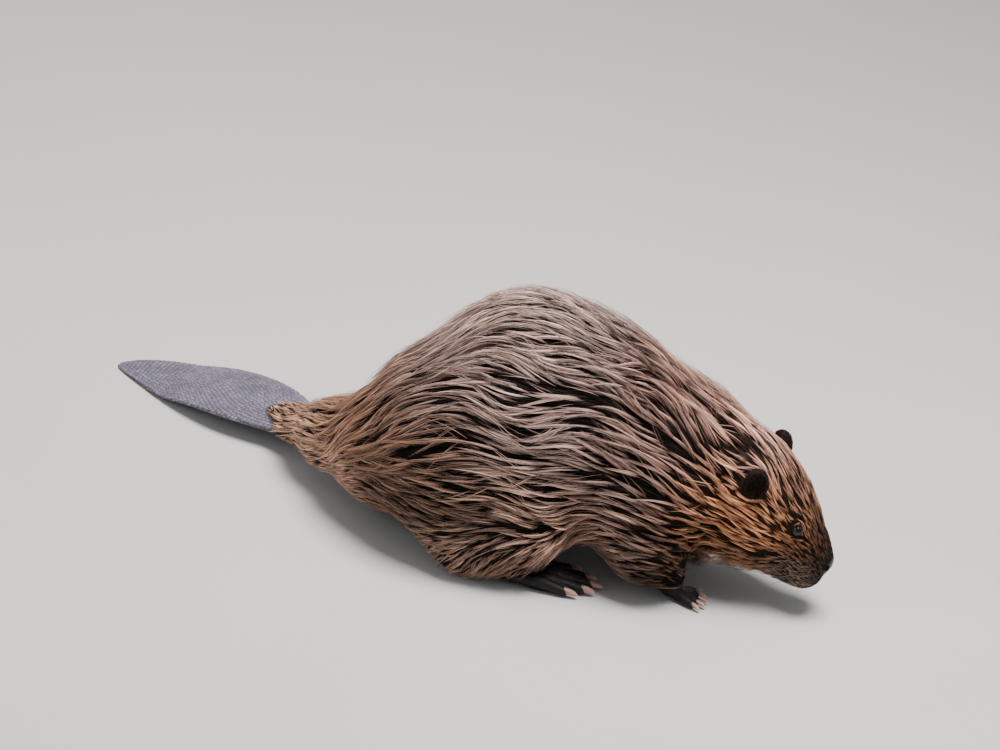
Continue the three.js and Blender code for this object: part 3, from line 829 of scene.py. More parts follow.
eye_material, tree = new_material("wet eye", 0.05, 0.34)
feed(tree, {"Base Color": ramp(tree, attribute(tree, "front", "Fac"),
                               (0.0, (0.020, 0.013, 0.010)), (0.72, (0.014, 0.008, 0.006)),
                               (0.80, (0.010, 0.006, 0.004)), (0.9, (0.002, 0.002, 0.002)))})
for name, side in SIDES.items():
    eye_points, eye_faces = ball(eye_centres[side], EYE_RADIUS - EYE_GAP, eye_axes(side))
    front = np.clip((eye_points - eye_centres[side]) @ eye_facing[side] / EYE_RADIUS, 0, 1)
    eye = new_piece(f"eyeball_{name}", to_row(eye_points), eye_faces, eye_material, front=front)
    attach(eye, "root")
    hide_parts(f"eye_{name}")


# ------------------------------------------------------------------ claws
# Five blunt curved horns on each paw, set in the ends of the toes: pinkish horn with
# faint growth lines, dark at the root and paler at the tip.
HIND_CLAW = dict(reach=19, radius=4.0, droop=3.2)
FORE_CLAW = dict(reach=14.5, radius=2.7, droop=2.8)
HIND_CLAW_HEIGHT = 8.2
FORE_CLAW_HEIGHT = 6.6
HIND_CLAW_SUNK = 1.5  # how far a claw starts inside its toe
FORE_CLAW_START = 30  # from the wrist
CLAW_WIDTH = 1.15  # against its height


def horns(starts, headings, reach, radius, droop):
    """Each horn is a tube along a parabola that runs ahead and sinks by droop at its end,
    a little wider than high. Its radius falls as the root of 1 - s to the power 2.4."""
    rings, around = 9, 12
    s = np.linspace(0, 1, rings + 1)[None, :, None]
    turn = np.linspace(0, 2 * np.pi, around, endpoint=False)[None, None, :]
    starts, headings = np.asarray(starts, float), np.asarray(headings, float)
    ahead = np.column_stack([np.cos(headings), np.sin(headings), 0 * headings])
    beside = np.column_stack([-np.sin(headings), np.cos(headings), 0 * headings])
    wide = radius * np.sqrt(np.maximum(1 - s ** 2.4, 0.004))
    line = s * reach
    sink = droop * s ** 2
    points = (starts[:, None, None, :] + line[..., None] * ahead[:, None, None, :]
              + (wide * np.cos(turn))[..., None] * beside[:, None, None, :] * CLAW_WIDTH
              + (wide * np.sin(turn) - sink)[..., None] * [0, 0, 1])
    horn, ring, step = np.meshgrid(*(np.arange(n) for n in (len(starts), rings, around)), indexing="ij")

    def at(r, t):
        return ((horn * (rings + 1) + r) * around + t % around).ravel()
    faces = halves(at(ring, step), at(ring + 1, step), at(ring + 1, step + 1), at(ring, step + 1))
    for r, way in ((0, 1), (rings, -1)):
        fan = (np.arange(len(starts))[:, None] * (rings + 1) + r) * around
        for t in range(1, around - 1):
            cap = np.concatenate([fan, fan + t, fan + t + 1], 1)
            faces.append(cap[:, ::way])
    along = np.broadcast_to(s, (len(starts), rings + 1, around))
    return points.reshape(-1, 3), np.concatenate(faces), along.ravel()


claw_material, tree = new_material("horn", 0.36, 0.5, 0.15, 0.25)
horn_shade = ramp(tree, attribute(tree, "along", "Fac"), (0.0, (0.110, 0.060, 0.052)),
                  (0.4, (0.360, 0.195, 0.170)), (1.0, (0.560, 0.350, 0.300)))
shade, growth = mottled(tree, horn_shade, object_place(tree), 420.0, 3.0,
                        (0.35, (0.7, 0.66, 0.64)), (0.65, (1.1, 1.08, 1.06)))
feed(tree, {"Base Color": shade, "Normal": bumped(tree, growth, 0.3, 0.0003)})
for name, side in SIDES.items():
    hind_tips, hind_roots = (np.array([mirrored(side, x, y, HIND_CLAW_HEIGHT) for x, y in ends])
                             for ends in (HIND_TOE_TIPS, HIND_TOE_ROOTS))
    way = unit(hind_tips - hind_roots)
    hind = horns(hind_tips - HIND_CLAW_SUNK * way, np.arctan2(way[:, 1], way[:, 0]), **HIND_CLAW)
    fore_fan = side * FORE_FAN
    fore_tips = np.array([mirrored(side, *FORE_WRIST[:2], FORE_CLAW_HEIGHT)] * len(fore_fan))
    fore_tips[:, :2] += FORE_CLAW_START * np.column_stack([np.cos(fore_fan), np.sin(fore_fan)])
    fore = horns(fore_tips, fore_fan, **FORE_CLAW)
    for paw, (claw_points, claw_faces, share) in (("hind_foot", hind), ("forepaw", fore)):
        claws = new_piece(f"claws_{paw}_{name}", to_row(claw_points), claw_faces, claw_material,
                          along=share)
        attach(claws, "root")
        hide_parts(*(f"claw_{paw}_{name}_{i}" for i in range(1, 6)))


# ------------------------------------------------------------------ coat
# Wet guard hair over dark underfur, whose near-black tone is partly painted shade of the gaps
# between the locks. It is combed back from the nose, over the back to the root of the tail and
# down the thighs, and water has drawn it into long pointed locks.
# Each lock is a bundle of hairs that start side by side and run together to one tip.
COMBED = [  # a place in mm, the way the hair points there (both mirrored), and a reach
    ([270, 0, 205], [-0.80, 0.05, 0.60], 45),
    ([262, 60, 140], [-0.78, 0.10, 0.62], 40),
    ([245, 40, 80], [-0.90, 0.25, 0.20], 35),
    ([200, 0, 245], [-0.90, 0.05, 0.45], 50),
    ([205, 85, 160], [-0.84, 0.05, 0.52], 45),
    ([205, 85, 105], [-0.92, 0.10, 0.30], 36),
    ([100, 0, 290], [-1.00, 0.10, 0.12], 60),
    ([100, 100, 200], [-0.98, 0.05, 0.22], 55),
    ([110, 115, 140], [-0.99, 0.05, 0.10], 50),
    ([120, 105, 85], [-1.00, 0.00, -0.06], 42),
    ([0, 0, 295], [-1.00, 0.05, -0.20], 60),
    ([10, 110, 200], [-0.97, 0.00, -0.05], 55),
    ([15, 140, 120], [-0.96, 0.00, 0.22], 45),
    ([20, 140, 70], [-0.88, 0.00, -0.25], 34),
    ([0, 130, 35], [-0.50, 0.05, -0.86], 34),
    ([60, 120, 45], [-0.62, 0.05, -0.80], 30),
    ([-70, 0, 235], [-0.80, 0.00, -0.60], 55),
    ([-70, 100, 150], [-0.90, -0.15, -0.30], 50),
    ([-70, 110, 80], [-0.88, -0.25, -0.20], 45),
    ([-120, 0, 150], [-0.62, 0.10, -0.75], 45),
    ([-125, 60, 70], [-0.75, -0.20, -0.35], 40),
    ([110, 30, 35], [-0.98, 0.00, -0.15], 45),
    ([230, 25, 60], [-0.85, 0.20, -0.20], 35),
    ([215, 80, 55], [-0.55, 0.10, -0.82], 28),
    ([235, 66, 30], [-0.20, 0.05, -0.97], 22),
]
TAIL_WAY = [-0.62, 0.72, -0.30]  # the root of the tail lies to the left
FACE_COMBED_FROM = [104, 0, -8]  # just before the nose
LIE_WAVES = ((150, 11, 0.26), (62, 12, 0.28))  # size, seed, and how far they turn the coat
EYE_POST = 8.5  # radius that the coat parts round, at an eye and at an ear
EAR_POST = 15.0


def wave(p, size, seed):
    """A smooth random value, mostly from -1 to 1, that changes over about the given size:
    five sines along seeded ways."""
    draw = np.random.default_rng(seed)
    ways = unit(draw.normal(size=(5, 3))) * draw.uniform(0.6, 1.3, (5, 1)) * (2 * np.pi / size)
    return np.sin(p @ ways.T + draw.uniform(0, 2 * np.pi, 5)).sum(1) / 2.4


def face_share(p):
    """1 on the face, 0 on the body, and between them on the nape."""
    return smooth(-85, -40, (p - HEAD_MIDDLE) @ HEAD_AXES[0])


def lie(p, normal):
    """The way the coat lies at each point: the mean of the combed ways near it, or on the
    face the way back from the nose, parting before each eye and ear and closing behind it
    as a stream does round a post, laid along the skin and turned by slow waves."""
    way = near(p, TAIL_ROOT, 48)[:, None] * TAIL_WAY * 2.5 + 1e-6 * np.array([-1.0, 0, 0])
    for place, combed, reach in COMBED:
        for side in BOTH:
            way = way + near(p, mirrored(side, *place), reach)[:, None] * mirrored(side, *combed)
    way = unit(way)
    on_face = face_share(p)[:, None]
    q = in_frame(p, HEAD_MIDDLE, HEAD_AXES)
    from_nose = unit(q - FACE_COMBED_FROM) * [1.0, 0.75, 0.8] + [-0.55, 0, 0]
    way = unit(way * (1 - on_face) + unit(from_nose @ HEAD_AXES) * on_face)
    for side in BOTH:
        for centre, radius in ((eye_centres[side], EYE_POST), (ear_middles[side], EAR_POST)):
            out = laid(p - centre, normal)
            far = np.maximum(np.einsum("ij,ij->i", out, out), 1.0)
            turned_back = np.einsum("ij,ij->i", way, out) / far
            share = np.minimum(radius ** 2 / far, 1) * near(p, centre, 2.2 * radius)
            way = way + share[:, None] * (way - 2 * turned_back[:, None] * out)
    way = unit(laid(way, normal))
    calm = 1 - np.maximum(0.7 * face_share(p), near(p, TAIL_ROOT, 60))
    angle = sum(wave(p, size, seed) * turn for size, seed, turn in LIE_WAVES) * calm
    return way * np.cos(angle)[:, None] + np.cross(normal, way) * np.sin(angle)[:, None]


def ear_field(p):
    """Distance to the two ears."""
    return melted(ears, p)


STEPS = 10  # pieces of every lock's line
LIFT_SHARE = 0.2  # the share of a lock over which it rises to most of its height
ROOT_SUNK = 0.8  # how far a lock starts under the skin
OVER_EAR = 0.8  # how far a lock's line keeps off an ear, and off the floor
OFF_FLOOR = 0.8


def comb(roots, reach, lift, stray, field, lay):
    """Lines along the lie of the coat: each step goes a tenth of the reach along the lie,
    turned by the lock's own stray angle, and then moves along the skin's normal to its
    height, which climbs from the root to the lift as 1 - exp(-s / 0.2)."""
    p = roots.astype(np.float32)
    way = None
    line, up = [], []
    for k in range(STEPS + 1):
        normal = unit(slope_of(field, p, 1.0))
        height = -ROOT_SUNK + (lift + ROOT_SUNK) * (1 - math.exp(-k / STEPS / LIFT_SHARE))
        p = p - (field(p) - height)[:, None] * normal
        if field is fur_field:  # over the ears rather than through them
            in_ear = np.maximum(OVER_EAR - ear_field(p), 0)
            p = p + in_ear[:, None] * unit(slope_of(ear_field, p, 1.0))
        p[:, 2] = np.maximum(p[:, 2], OFF_FLOOR)
        line.append(p)
        up.append(normal)
        step = lay(p, normal)
        step = step * np.cos(stray)[:, None] + np.cross(normal, step) * np.sin(stray)[:, None]
        way = step if way is None else unit(way * 0.45 + step * 0.55)
        p = (p + way * (reach / STEPS)[:, None]).astype(np.float32)
    return np.stack(line, 1), np.stack(up, 1)


corners_of = skin_points[skin_faces]
face_cross = np.cross(corners_of[:, 1] - corners_of[:, 0], corners_of[:, 2] - corners_of[:, 0])
face_area = length(face_cross) / 2
face_middle = corners_of.mean(1)
seen_share = 1 - 0.55 * smooth(-0.5, -0.9, unit(face_cross)[:, 2])  # thinner on the underside
CURVE_CELL = 9
code = np.zeros(len(face_middle), np.int64)  # each triangle's place on a space-filling curve
cells = ((face_middle - face_middle.min(0)) / CURVE_CELL).astype(np.int64)
for bit in range(7):
    for axis in range(3):
        code |= ((cells[:, axis] >> bit) & 1) << (3 * bit + axis)
order = np.argsort(code, kind="stable")


def scatter(count, weight, draw):
    """Roots spread evenly over the skin by weight: equal steps through the running total of
    area times weight, in the order of a space-filling curve, each shifted at random."""
    running = np.cumsum((face_area * weight)[order])
    at = (np.arange(count) + draw.uniform(0, 1, count)) * running[-1] / count
    chosen = order[np.minimum(np.searchsorted(running, at), len(order) - 1)]
    u, v = np.sqrt(draw.uniform(0, 1, count)), draw.uniform(0, 1, count)
    share = np.stack([1 - u, u * (1 - v), u * v], 1)
    return np.einsum("ij,ijk->ik", share, corners_of[chosen])


def wetness(p):
    """1 where the locks are long and wet, on back, flanks and shoulders, and 0 where the
    fur is softer, on thighs, belly, legs and the root of the tail."""
    aside = one_side(p)
    dry = near(aside, [0, 130, 60], 42) * 0.9 + near(p, TAIL_ROOT, 45)
    return np.clip(smooth(45, 120, p[:, 2]) - dry, 0, 1)


def about(middles, p, reach):
    """1 at the eyes or the ears, given by their middles, falling with the given reach."""
    return sum(near(p, middle, reach) for middle in middles.values())


DRY_LOCK = (44, 2.5)  # length and half width
WET_GAIN = (32, 0.4)  # what the wet adds to them
# At each place ahead of the middle of the head, the locks' half width and length.
FACE_LOCKS = ([-60, -20, 20, 50, 75, 90], [2.5, 2.1, 1.9, 1.6, 1.35, 1.15], [52, 44, 36, 25, 14.5, 9])


def lock_size(p):
    """Length and half width of the lock that grows at each point, in mm."""
    wet = wetness(p)
    ahead = (p - HEAD_MIDDLE) @ HEAD_AXES[0]
    share = face_share(p)
    of_body = np.stack([dry + gain * wet for dry, gain in zip(DRY_LOCK, WET_GAIN)])
    of_face = np.stack([np.interp(ahead, *FACE_LOCKS[::2]), np.interp(ahead, *FACE_LOCKS[:2])])
    long, wide = of_body * (1 - share) + of_face * share
    by_eye, by_ear = about(eye_centres, p, 13), about(ear_middles, p, 20)
    long = long * (1 - 0.55 * by_eye - 0.3 * by_ear)
    wide = wide * (1 - 0.3 * by_eye - 0.1 * by_ear)
    low = np.interp(p[:, 2], [10, 30, 80], [0.4, 0.6, 1.0])
    low = np.maximum(low, 0.75 * share)
    low = low * np.interp(along_tail(p), [0, 40, 75], [1.0, 0.9, 0.85])
    return long * low, wide * np.maximum(low, 0.6)


JAW_SHAG = 9
BELLY_SHAG = 7
BACK_SHAG = 2.5


def shag(p):
    """How much further the locks stand out under the jaw, along the edge of the belly and
    over the back, in mm."""
    jaw = near(in_frame(p, HEAD_MIDDLE, HEAD_AXES) * [1, 0.5, 1], [-5, 0, -68], 30)
    aside = one_side(p)
    edge = near(aside, [110, 85, 50], 34) + near(aside, [30, 125, 36], 26)
    return JAW_SHAG * jaw + BELLY_SHAG * edge + BACK_SHAG * smooth(200, 270, p[:, 2])


def spine_map(p):
    """Where each root lies on the hide laid flat: along it by the distance from tail to
    nose, and across it by the angle about a line from the rump to the head."""
    spine_z = np.interp(p[:, 0], [-200, -60, 60, 200, 330, 400], [45, 110, 150, 130, 100, 60])
    spine_y = np.interp(p[:, 0], [-200, -110, 250, 400], [70, 5, -2, -22])
    across = np.arctan2(p[:, 1] - spine_y, p[:, 2] - spine_z) / (2 * np.pi) + 0.5
    return np.stack([(p[:, 0] + 260) / 690, across], 1)


def prism_faces(rings):
    """Triangles of a closed prism of three sides that ends in a point: the three sides from
    each ring to the next, the three from the last ring to the point, and a cap."""
    faces = []
    for k in range(0, 3 * (rings - 1), 3):
        for a, b in ((0, 1), (1, 2), (2, 0)):
            faces += [(k + a, k + b, k + b + 3), (k + a, k + b + 3, k + a + 3)]
    last = 3 * (rings - 1)
    faces += [(last + a, last + (a + 1) % 3, last + 3) for a in range(3)]
    return np.array(faces + [(2, 1, 0)])


PATCH = 0.003  # width of one hair's patch on the map
LOWEST_HAIR = 0.3  # above the floor
PATCHY_SIZE = 44  # from a thick patch of coat to a thin one
PATCHY_SEED = 90
NOTHING_GROWS = 9  # in place of the share of bare leather, near no layer's own


def lay_locks(draw, seed, coverage, weight, lift, spread=1.0, patchy=0.0, least=0.0, stray=0.13,
              size=lock_size, field=fur_field, lay=lie, depth=coat_depth, bare=0.0):
    """Locks over the skin: their number is the coverage times the sum of area times weight
    over a lock's own area, which is 1.1 of its length times its half width. Each is combed
    out from its root at a random length, width and rise. Returns their roots, lines, ways
    up, half widths and rises."""
    long, wide = size(face_middle)
    thin = 1 / np.maximum(long * wide * 1.1, least)
    weight = weight(face_middle) * (np.abs(bare_at_face - bare) < 0.5) * seen_share
    weight = weight * np.clip(1 + patchy * wave(face_middle, PATCHY_SIZE, PATCHY_SEED + seed), 0.1, 2)
    count = int(coverage * (face_area * weight * thin).sum())
    roots = scatter(count, weight * thin, draw)
    long, wide = size(roots)
    long = long * draw.uniform(0.7, 1.25, count)
    wide = wide * draw.uniform(0.45, 1.45, count) * spread
    rise = (depth(roots) + shag(roots)) * draw.uniform(*lift, count)
    line, up = comb(roots, long, rise, draw.normal(0, stray, count), field, lay)
    return roots, line, up, wide, rise


def part_hairs(draw, lock, hairs, rings, line, up, wide, rise):
    """Runs the hairs along their locks. They start up to a third of its length apart, across
    its whole width, which narrows as (1 - s) to the power 0.85, and the middle hairs ride
    higher than the outer ones. Returns the share s of the lock at each ring, the hairs'
    middles, the ways aside and up, and how deep each hair is sunk, from 0 to 1."""
    total = len(lock)
    across = (np.tile(np.arange(hairs), total // hairs) + draw.uniform(0, 1, total)) / hairs * 2 - 1
    begin = draw.uniform(0, 0.34, total)
    end = np.minimum(1, draw.uniform(0.78, 1.04, total) + 0.06 * (1 - np.abs(across)))
    sunk = draw.uniform(0, 1, total) ** 2
    s = begin[:, None] + (end - begin)[:, None] * (np.arange(rings + 1) / rings)
    k = np.minimum((s * STEPS).astype(int), STEPS - 1)
    f = (s * STEPS - k)[..., None]
    pick = lock[:, None]
    beside = unit(np.cross(unit(np.gradient(line, axis=1)), up))
    here, normal, aside = (v[pick, k] * (1 - f) + v[pick, k + 1] * f for v in (line, up, beside))
    normal, aside = unit(normal), unit(aside)
    loose = draw.normal(0, 0.08, total)
    loose = loose + draw.normal(0, 0.5, total) * (draw.uniform(0, 1, total) > 0.93)
    gather = np.maximum(1 - s, 0) ** 0.85 * (0.35 + 0.75 * smooth(-0.05, 0.35, s)) + 0.04
    turns, phase = draw.uniform(0.8, 1.6, total)[:, None], draw.uniform(0, 1, total)[:, None]
    sway = 0.1 * np.sin(2 * np.pi * (s * turns + phase)) * np.minimum(wide[lock], 3)[:, None]
    offset = wide[lock][:, None] * (across[:, None] * gather + loose[:, None] * s) + sway
    drop = (0.45 * across ** 2 + 0.35 * sunk)[:, None] * rise[lock][:, None] * (1 - 0.5 * s)
    return s, here + aside * offset[..., None] - normal * drop[..., None], aside, normal, sunk


def hair_tints(draw, lock, roots, along, sunk, tone):
    """The marking at the lock's root times the tones of layer, lock and hair. It darkens with
    the hair's depth and towards its root, as painted shade from the hairs and locks over it,
    but less by the eyes and ears, and dark hairs grizzle the lips."""
    lock_tone = draw.uniform(0.55, 1.3, len(roots))[lock]
    # painted shade: hairs sunk deeper in the lock are darker
    hair_tone = draw.uniform(0.45, 1.4, len(lock)) * (1 - 0.6 * sunk)
    lit = np.minimum(about(eye_centres, roots, 13) + about(ear_middles, roots, 19), 1)[lock]
    grizzle = near(in_frame(roots, HEAD_MIDDLE, HEAD_AXES) * [1, 0.3, 1], [76, 0, -30], 14)
    hair_tone = hair_tone * (1 - 0.75 * grizzle[lock] * (draw.uniform(0, 1, len(lock)) > 0.35))
    # painted shade: darker towards the root, where other locks cover it, and lifted by the eyes and
    # ears
    painted_root_shade = 0.1 + 0.9 * smooth(0.02, 0.42, along)
    painted_root_shade = painted_root_shade + (1 - painted_root_shade) * 0.8 * lit[:, None]
    shade = (tone * lock_tone * hair_tone)[:, None] * painted_root_shade
    return marking_and_painted_light(roots)[lock][:, None, :] * shade[..., None]


def grow(seed, hairs, rings, hair_width, tone, **locks):
    """One layer of hair, in locks. A hair is a closed prism of three sides, whose width grows
    as a sine and closes as 1 - r cubed along the hair, and it is turned a little about its
    own line. Returns points, places on the map, tints, strand places and roots."""
    draw = np.random.default_rng(seed)
    roots, line, up, wide, rise = lay_locks(draw, seed, **locks)
    lock = np.repeat(np.arange(len(roots)), hairs)
    total = len(lock)
    s, middle, aside, normal, sunk = part_hairs(draw, lock, hairs, rings, line, up, wide, rise)
    r = np.arange(rings + 1) / rings
    width = hair_width(roots)[lock] * draw.uniform(0.7, 1.25, total)
    half = 0.5 * width[:, None] * (0.55 + 0.45 * np.sin(np.pi * np.minimum(1, r * 1.5))) * (1 - r ** 3)
    half = half[..., None]
    twist = draw.normal(0, 0.35, total)[:, None, None]
    left = aside * np.cos(twist) + normal * np.sin(twist)
    high = normal * np.cos(twist) - aside * np.sin(twist)
    ring = np.stack([middle - left * half, middle + high * half * 0.8, middle + left * half], 2)
    points = np.concatenate([ring[:, :rings].reshape(total, -1, 3), middle[:, rings:]], 1)
    points[..., 2] = np.maximum(points[..., 2], LOWEST_HAIR)

    u = np.append(np.tile([0, 0.5, 1.0], rings), 0.5)
    v = np.append(np.repeat(r[:rings], 3), 1.0)
    v[1] = -0.15  # so that the cap at the root has an area on the map too
    chart = spine_map(roots)[lock][:, None] + (np.stack([u, v], -1) - 0.5) * PATCH
    along = np.append(np.repeat(s[:, :rings], 3, axis=1), s[:, rings:], axis=1)
    tint = hair_tints(draw, lock, roots, along, sunk, tone)
    seeds = np.broadcast_to(draw.uniform(0, 1, total)[:, None], along.shape)
    strand = np.stack([np.broadcast_to(u, along.shape), along, seeds], -1)
    return {"points": points, "chart": chart, "tint": tint, "strand": strand, "roots": roots[lock]}


MOUTH_CLEAR = 1.2  # how far the coat keeps from the lips' line and the nostrils
EYE_CLEAR = 9.0
BOWL_CLEAR = 2.0
SCALES_CLEAR = 4.5
bare_at_face = leather[skin_faces].mean(1)
in_mouth = np.min([field(face_middle) for field, _ in lip_line + nostrils], axis=0) < MOUTH_CLEAR
by_eye = np.min([length(in_frame(face_middle, eye_centres[side], eye_axes(side)) * [0.5, 0.9, 1.1])
                 for side in BOTH], axis=0) < EYE_CLEAR
in_bowl = (ear_field(face_middle) < BOWL_CLEAR) & (bare_at_face < 0.5)
by_scales = paddle(face_middle) < SCALES_CLEAR
bare_at_face = np.where(in_mouth | by_eye | in_bowl | by_scales, NOTHING_GROWS, bare_at_face)


STREAK_STEP = 91.7  # from one hair's place in the noise to the next


def hair_material(name, roughness):
    """Wet hair: the tint is streaked along each hair by stretched noise, at a place of its
    own for each hair. The streaks also give its relief, wet stretches are glossier than
    dry ones, and dark hair is dull."""
    material, tree = new_material(name, roughness, 0.3, 0.05, 0.3)
    parts = node(tree, "ShaderNodeSeparateXYZ", {"Vector": attribute(tree, "strand", "Vector")}).outputs
    offset = node(tree, "ShaderNodeMath", {0: parts["Z"], 1: STREAK_STEP}, operation="MULTIPLY")
    streak_at = node(tree, "ShaderNodeCombineXYZ", {"X": parts["X"], "Y": parts["Y"],
                                                    "Z": offset.outputs[0]})
    stretched = node(tree, "ShaderNodeMapping", {"Vector": streak_at.outputs[0],
                                                 "Scale": (7.0, 2.2, 1.0)})
    colour, streak = mottled(tree, attribute(tree, "tint"), stretched.outputs[0], 1.0, 3.0,
                             (0.3, (0.61, 0.57, 0.55)), (0.66, (1.35, 1.35, 1.35)))
    damp = noise(tree, object_place(tree), 22.0, 2.0)
    gloss = ranged(tree, damp, (0.35, roughness + 0.12), (0.65, roughness - 0.1))
    dull = ranged(tree, colour, (0.01, 0.8), (0.08, 0.3))
    rough = node(tree, "ShaderNodeMath", {0: gloss, 1: dull}, operation="MAXIMUM")
    feed(tree, {"Base Color": colour,
                "Roughness": rough.outputs[0],
                "Specular IOR Level": ranged(tree, colour, (0.01, 0.12), (0.14, 0.55)),
                "Normal": bumped(tree, streak, 0.4, 0.0004)})
    return material


wet_hair = hair_material("wet guard hair", 0.42)


def on_body(p):
    """1 on the body and 0 on the face."""
    return 1 - face_share(p)


def cup_field(p):
    """Distance to the two ears with their bowls taken out."""
    total = np.full(len(p), 1e3)
    for (whole, _), side in zip(ears, BOTH):
        axes = ear_axes(side)
        middle = ear_middles[side] + EAR_BOWL_SHIFT * axes[0]
        total = np.minimum(total, np.maximum(whole(p), -oval(middle, EAR_BOWL, axes, 1)[0](p)))
    return total


def ear_share(p):
    """1 on the ears and in their bowls."""
    return (cup_field(p) < 1.5).astype(float)


def ear_lay(p, normal):
    """Up along the ear, and a little back."""
    way = np.zeros((len(p), 3))
    for side in BOTH:
        axes = ear_axes(side)
        way += near(p, ear_middles[side], 20)[:, None] * (axes[2] - 0.5 * axes[0])
    return unit(laid(way, normal))


def constant(value):
    """The same value at every point."""
    return lambda p: np.full(len(p), value)


def hair_share(share, least, most):
    """Hairs as wide as a share of their lock, within limits."""
    return lambda p: np.clip(lock_size(p)[1] * share, least, most)


LAYERS = [
    # long wet guard hair of the back, flanks and shoulders, its high tone partly a painted wet sheen
    dict(seed=1, coverage=1.5, patchy=0.4, weight=lambda p: on_body(p) * wetness(p),
         hairs=8, rings=5, hair_width=constant(1.1), lift=(0.5, 1.4), tone=1.5),
    # softer hair of thighs, belly, legs and rump
    dict(seed=2, coverage=1.8, patchy=0.25, least=75.0, weight=lambda p: on_body(p) * (1 - wetness(p)),
         hairs=6, rings=4, hair_width=hair_share(0.46, 0.6, 1.2), lift=(0.4, 1.2), tone=1.15),
    # face
    dict(seed=3, coverage=1.75, patchy=0.15, weight=face_share, hairs=5, rings=4,
         hair_width=hair_share(0.42, 0.6, 1.15), lift=(0.4, 1.3), tone=1.36),
    # single stray hairs that cross the locks
    dict(seed=7, coverage=0.5, weight=lambda p: on_body(p) * (0.3 + 0.7 * wetness(p)), least=75.0,
         hairs=2, rings=5, hair_width=constant(0.75), lift=(0.9, 1.6), tone=1.3, spread=1.8, stray=0.3),
    # dark underfur in the gaps, near black partly as painted shade between the locks
    dict(seed=4, coverage=1.7, least=75.0, weight=lambda p: on_body(p) * (0.5 + 0.9 * wetness(p)),
         hairs=5, rings=3, hair_width=constant(1.9), lift=(0.1, 0.45), tone=0.055, spread=1.5),
    dict(seed=5, coverage=1.5, weight=face_share, hairs=4, rings=3,
         hair_width=hair_share(0.6, 0.6, 1.5), lift=(0.1, 0.45), tone=0.08),
    # black down on the ears
    dict(seed=6, coverage=2.4, weight=ear_share, size=lambda p: (constant(6.0)(p), constant(1.1)(p)),
         field=cup_field, lay=ear_lay, depth=constant(1.2), bare=1.0, hairs=3, rings=3,
         hair_width=constant(0.6), lift=(0.5, 1.3), tone=0.05),
]
grown = [grow(**layer) for layer in LAYERS]


UPPER_FLANK_FROM = 150  # up from the floor
SHOULDER_FROM = 150  # ahead
RUMP_TO = -30
THIGH_TO = 70
FACE_FROM = 8  # ahead of the middle of the head


def coat_region(p):
    """The name of the coat piece that each root belongs to."""
    q = in_frame(p, HEAD_MIDDLE, HEAD_AXES)
    on_face = face_share(p) > 0.5
    names = np.full(len(p), "flank_upper", object)
    low = p[:, 2] < UPPER_FLANK_FROM
    names[low] = "flank_lower"
    names[p[:, 0] > SHOULDER_FROM] = "shoulder"
    names[p[:, 0] < RUMP_TO] = "rump"
    names[(p[:, 0] > RUMP_TO) & (p[:, 0] < THIGH_TO) & low] = "thigh"
    names[on_face] = "crown"
    names[on_face & (q[:, 0] > FACE_FROM)] = "face"
    names = names + np.where(np.where(on_face, q[:, 1], p[:, 1]) > 0, "_left", "_right")
    names[near(p, TAIL_ROOT, 60) > 0.6] = "tail_root"
    return names


def lay_map(piece, chart, faces):
    """The map OFBake, from a place on it for each point."""
    places = chart[faces.ravel()].astype(np.float32).ravel()
    piece.data.uv_layers.new(name="OFBake").data.foreach_set("uv", places)


regions = [coat_region(layer["roots"]) for layer in grown]
for region in sorted(set(np.concatenate(regions))):
    parts = {key: [] for key in ("points", "chart", "tint", "strand", "faces")}
    count = 0
    for layer, names, settings in zip(grown, regions, LAYERS):
        mine = names == region
        per_hair = layer["points"].shape[1]
        for key in ("points", "chart", "tint", "strand"):
            parts[key].append(layer[key][mine].reshape(-1, layer[key].shape[-1]))
        first = count + np.arange(mine.sum()) * per_hair
        parts["faces"].append((prism_faces(settings["rings"]) + first[:, None, None]).reshape(-1, 3))
        count += mine.sum() * per_hair
    parts = {key: np.concatenate(values) for key, values in parts.items()}
    coat = new_piece(f"coat_{region}", to_row(parts["points"]), parts["faces"], wet_hair,
                     tint=np.column_stack([parts["tint"], np.ones(count)]), strand=parts["strand"])
    lay_map(coat, parts["chart"], parts["faces"])
    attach(coat, "root")


# ------------------------------------------------------------------ tail scales
# Leathery scales of the paddle: domed six-sided plates in staggered rings round it, a few
# mm across, wet and slate grey.
SCALE_LONG = 6.6
SCALE_WIDE = 6.2
SCALE_RISE = 0.7
SCALE_RINGS = ((1.0, -0.5), (0.86, 0.3), (0.5, SCALE_RISE))  # share of the plate, and height
SCALE_DOME = 0.12  # how far a plate's middle stands above its inner ring
ROW_STEP = 0.76  # from row to row, in lengths of a plate
SCALE_STRETCH = 1.12  # so that the plates of a row meet
LOWEST_SCALE = 0.1  # above the floor


def paddle_surface(s, turn, lift):
    """The point at a share of the tail's length and an angle round its oval section,
    from the middle of the upper face, raised along the section's normal by lift."""
    half, thick, middle, closing = paddle_section(s)
    out = unit(np.stack([np.sin(turn) / half, np.cos(turn) / thick], -1)) * lift
    across = half * closing * np.sin(turn) + out[..., 0]
    heading = tail_outward + (s - 0.5) * tail_sweep
    reach = tail_radius + across
    return np.stack([tail_pivot[0] + reach * np.cos(heading), tail_pivot[1] + reach * np.sin(heading),
                     middle + thick * closing * np.cos(turn) + out[..., 1]], -1)


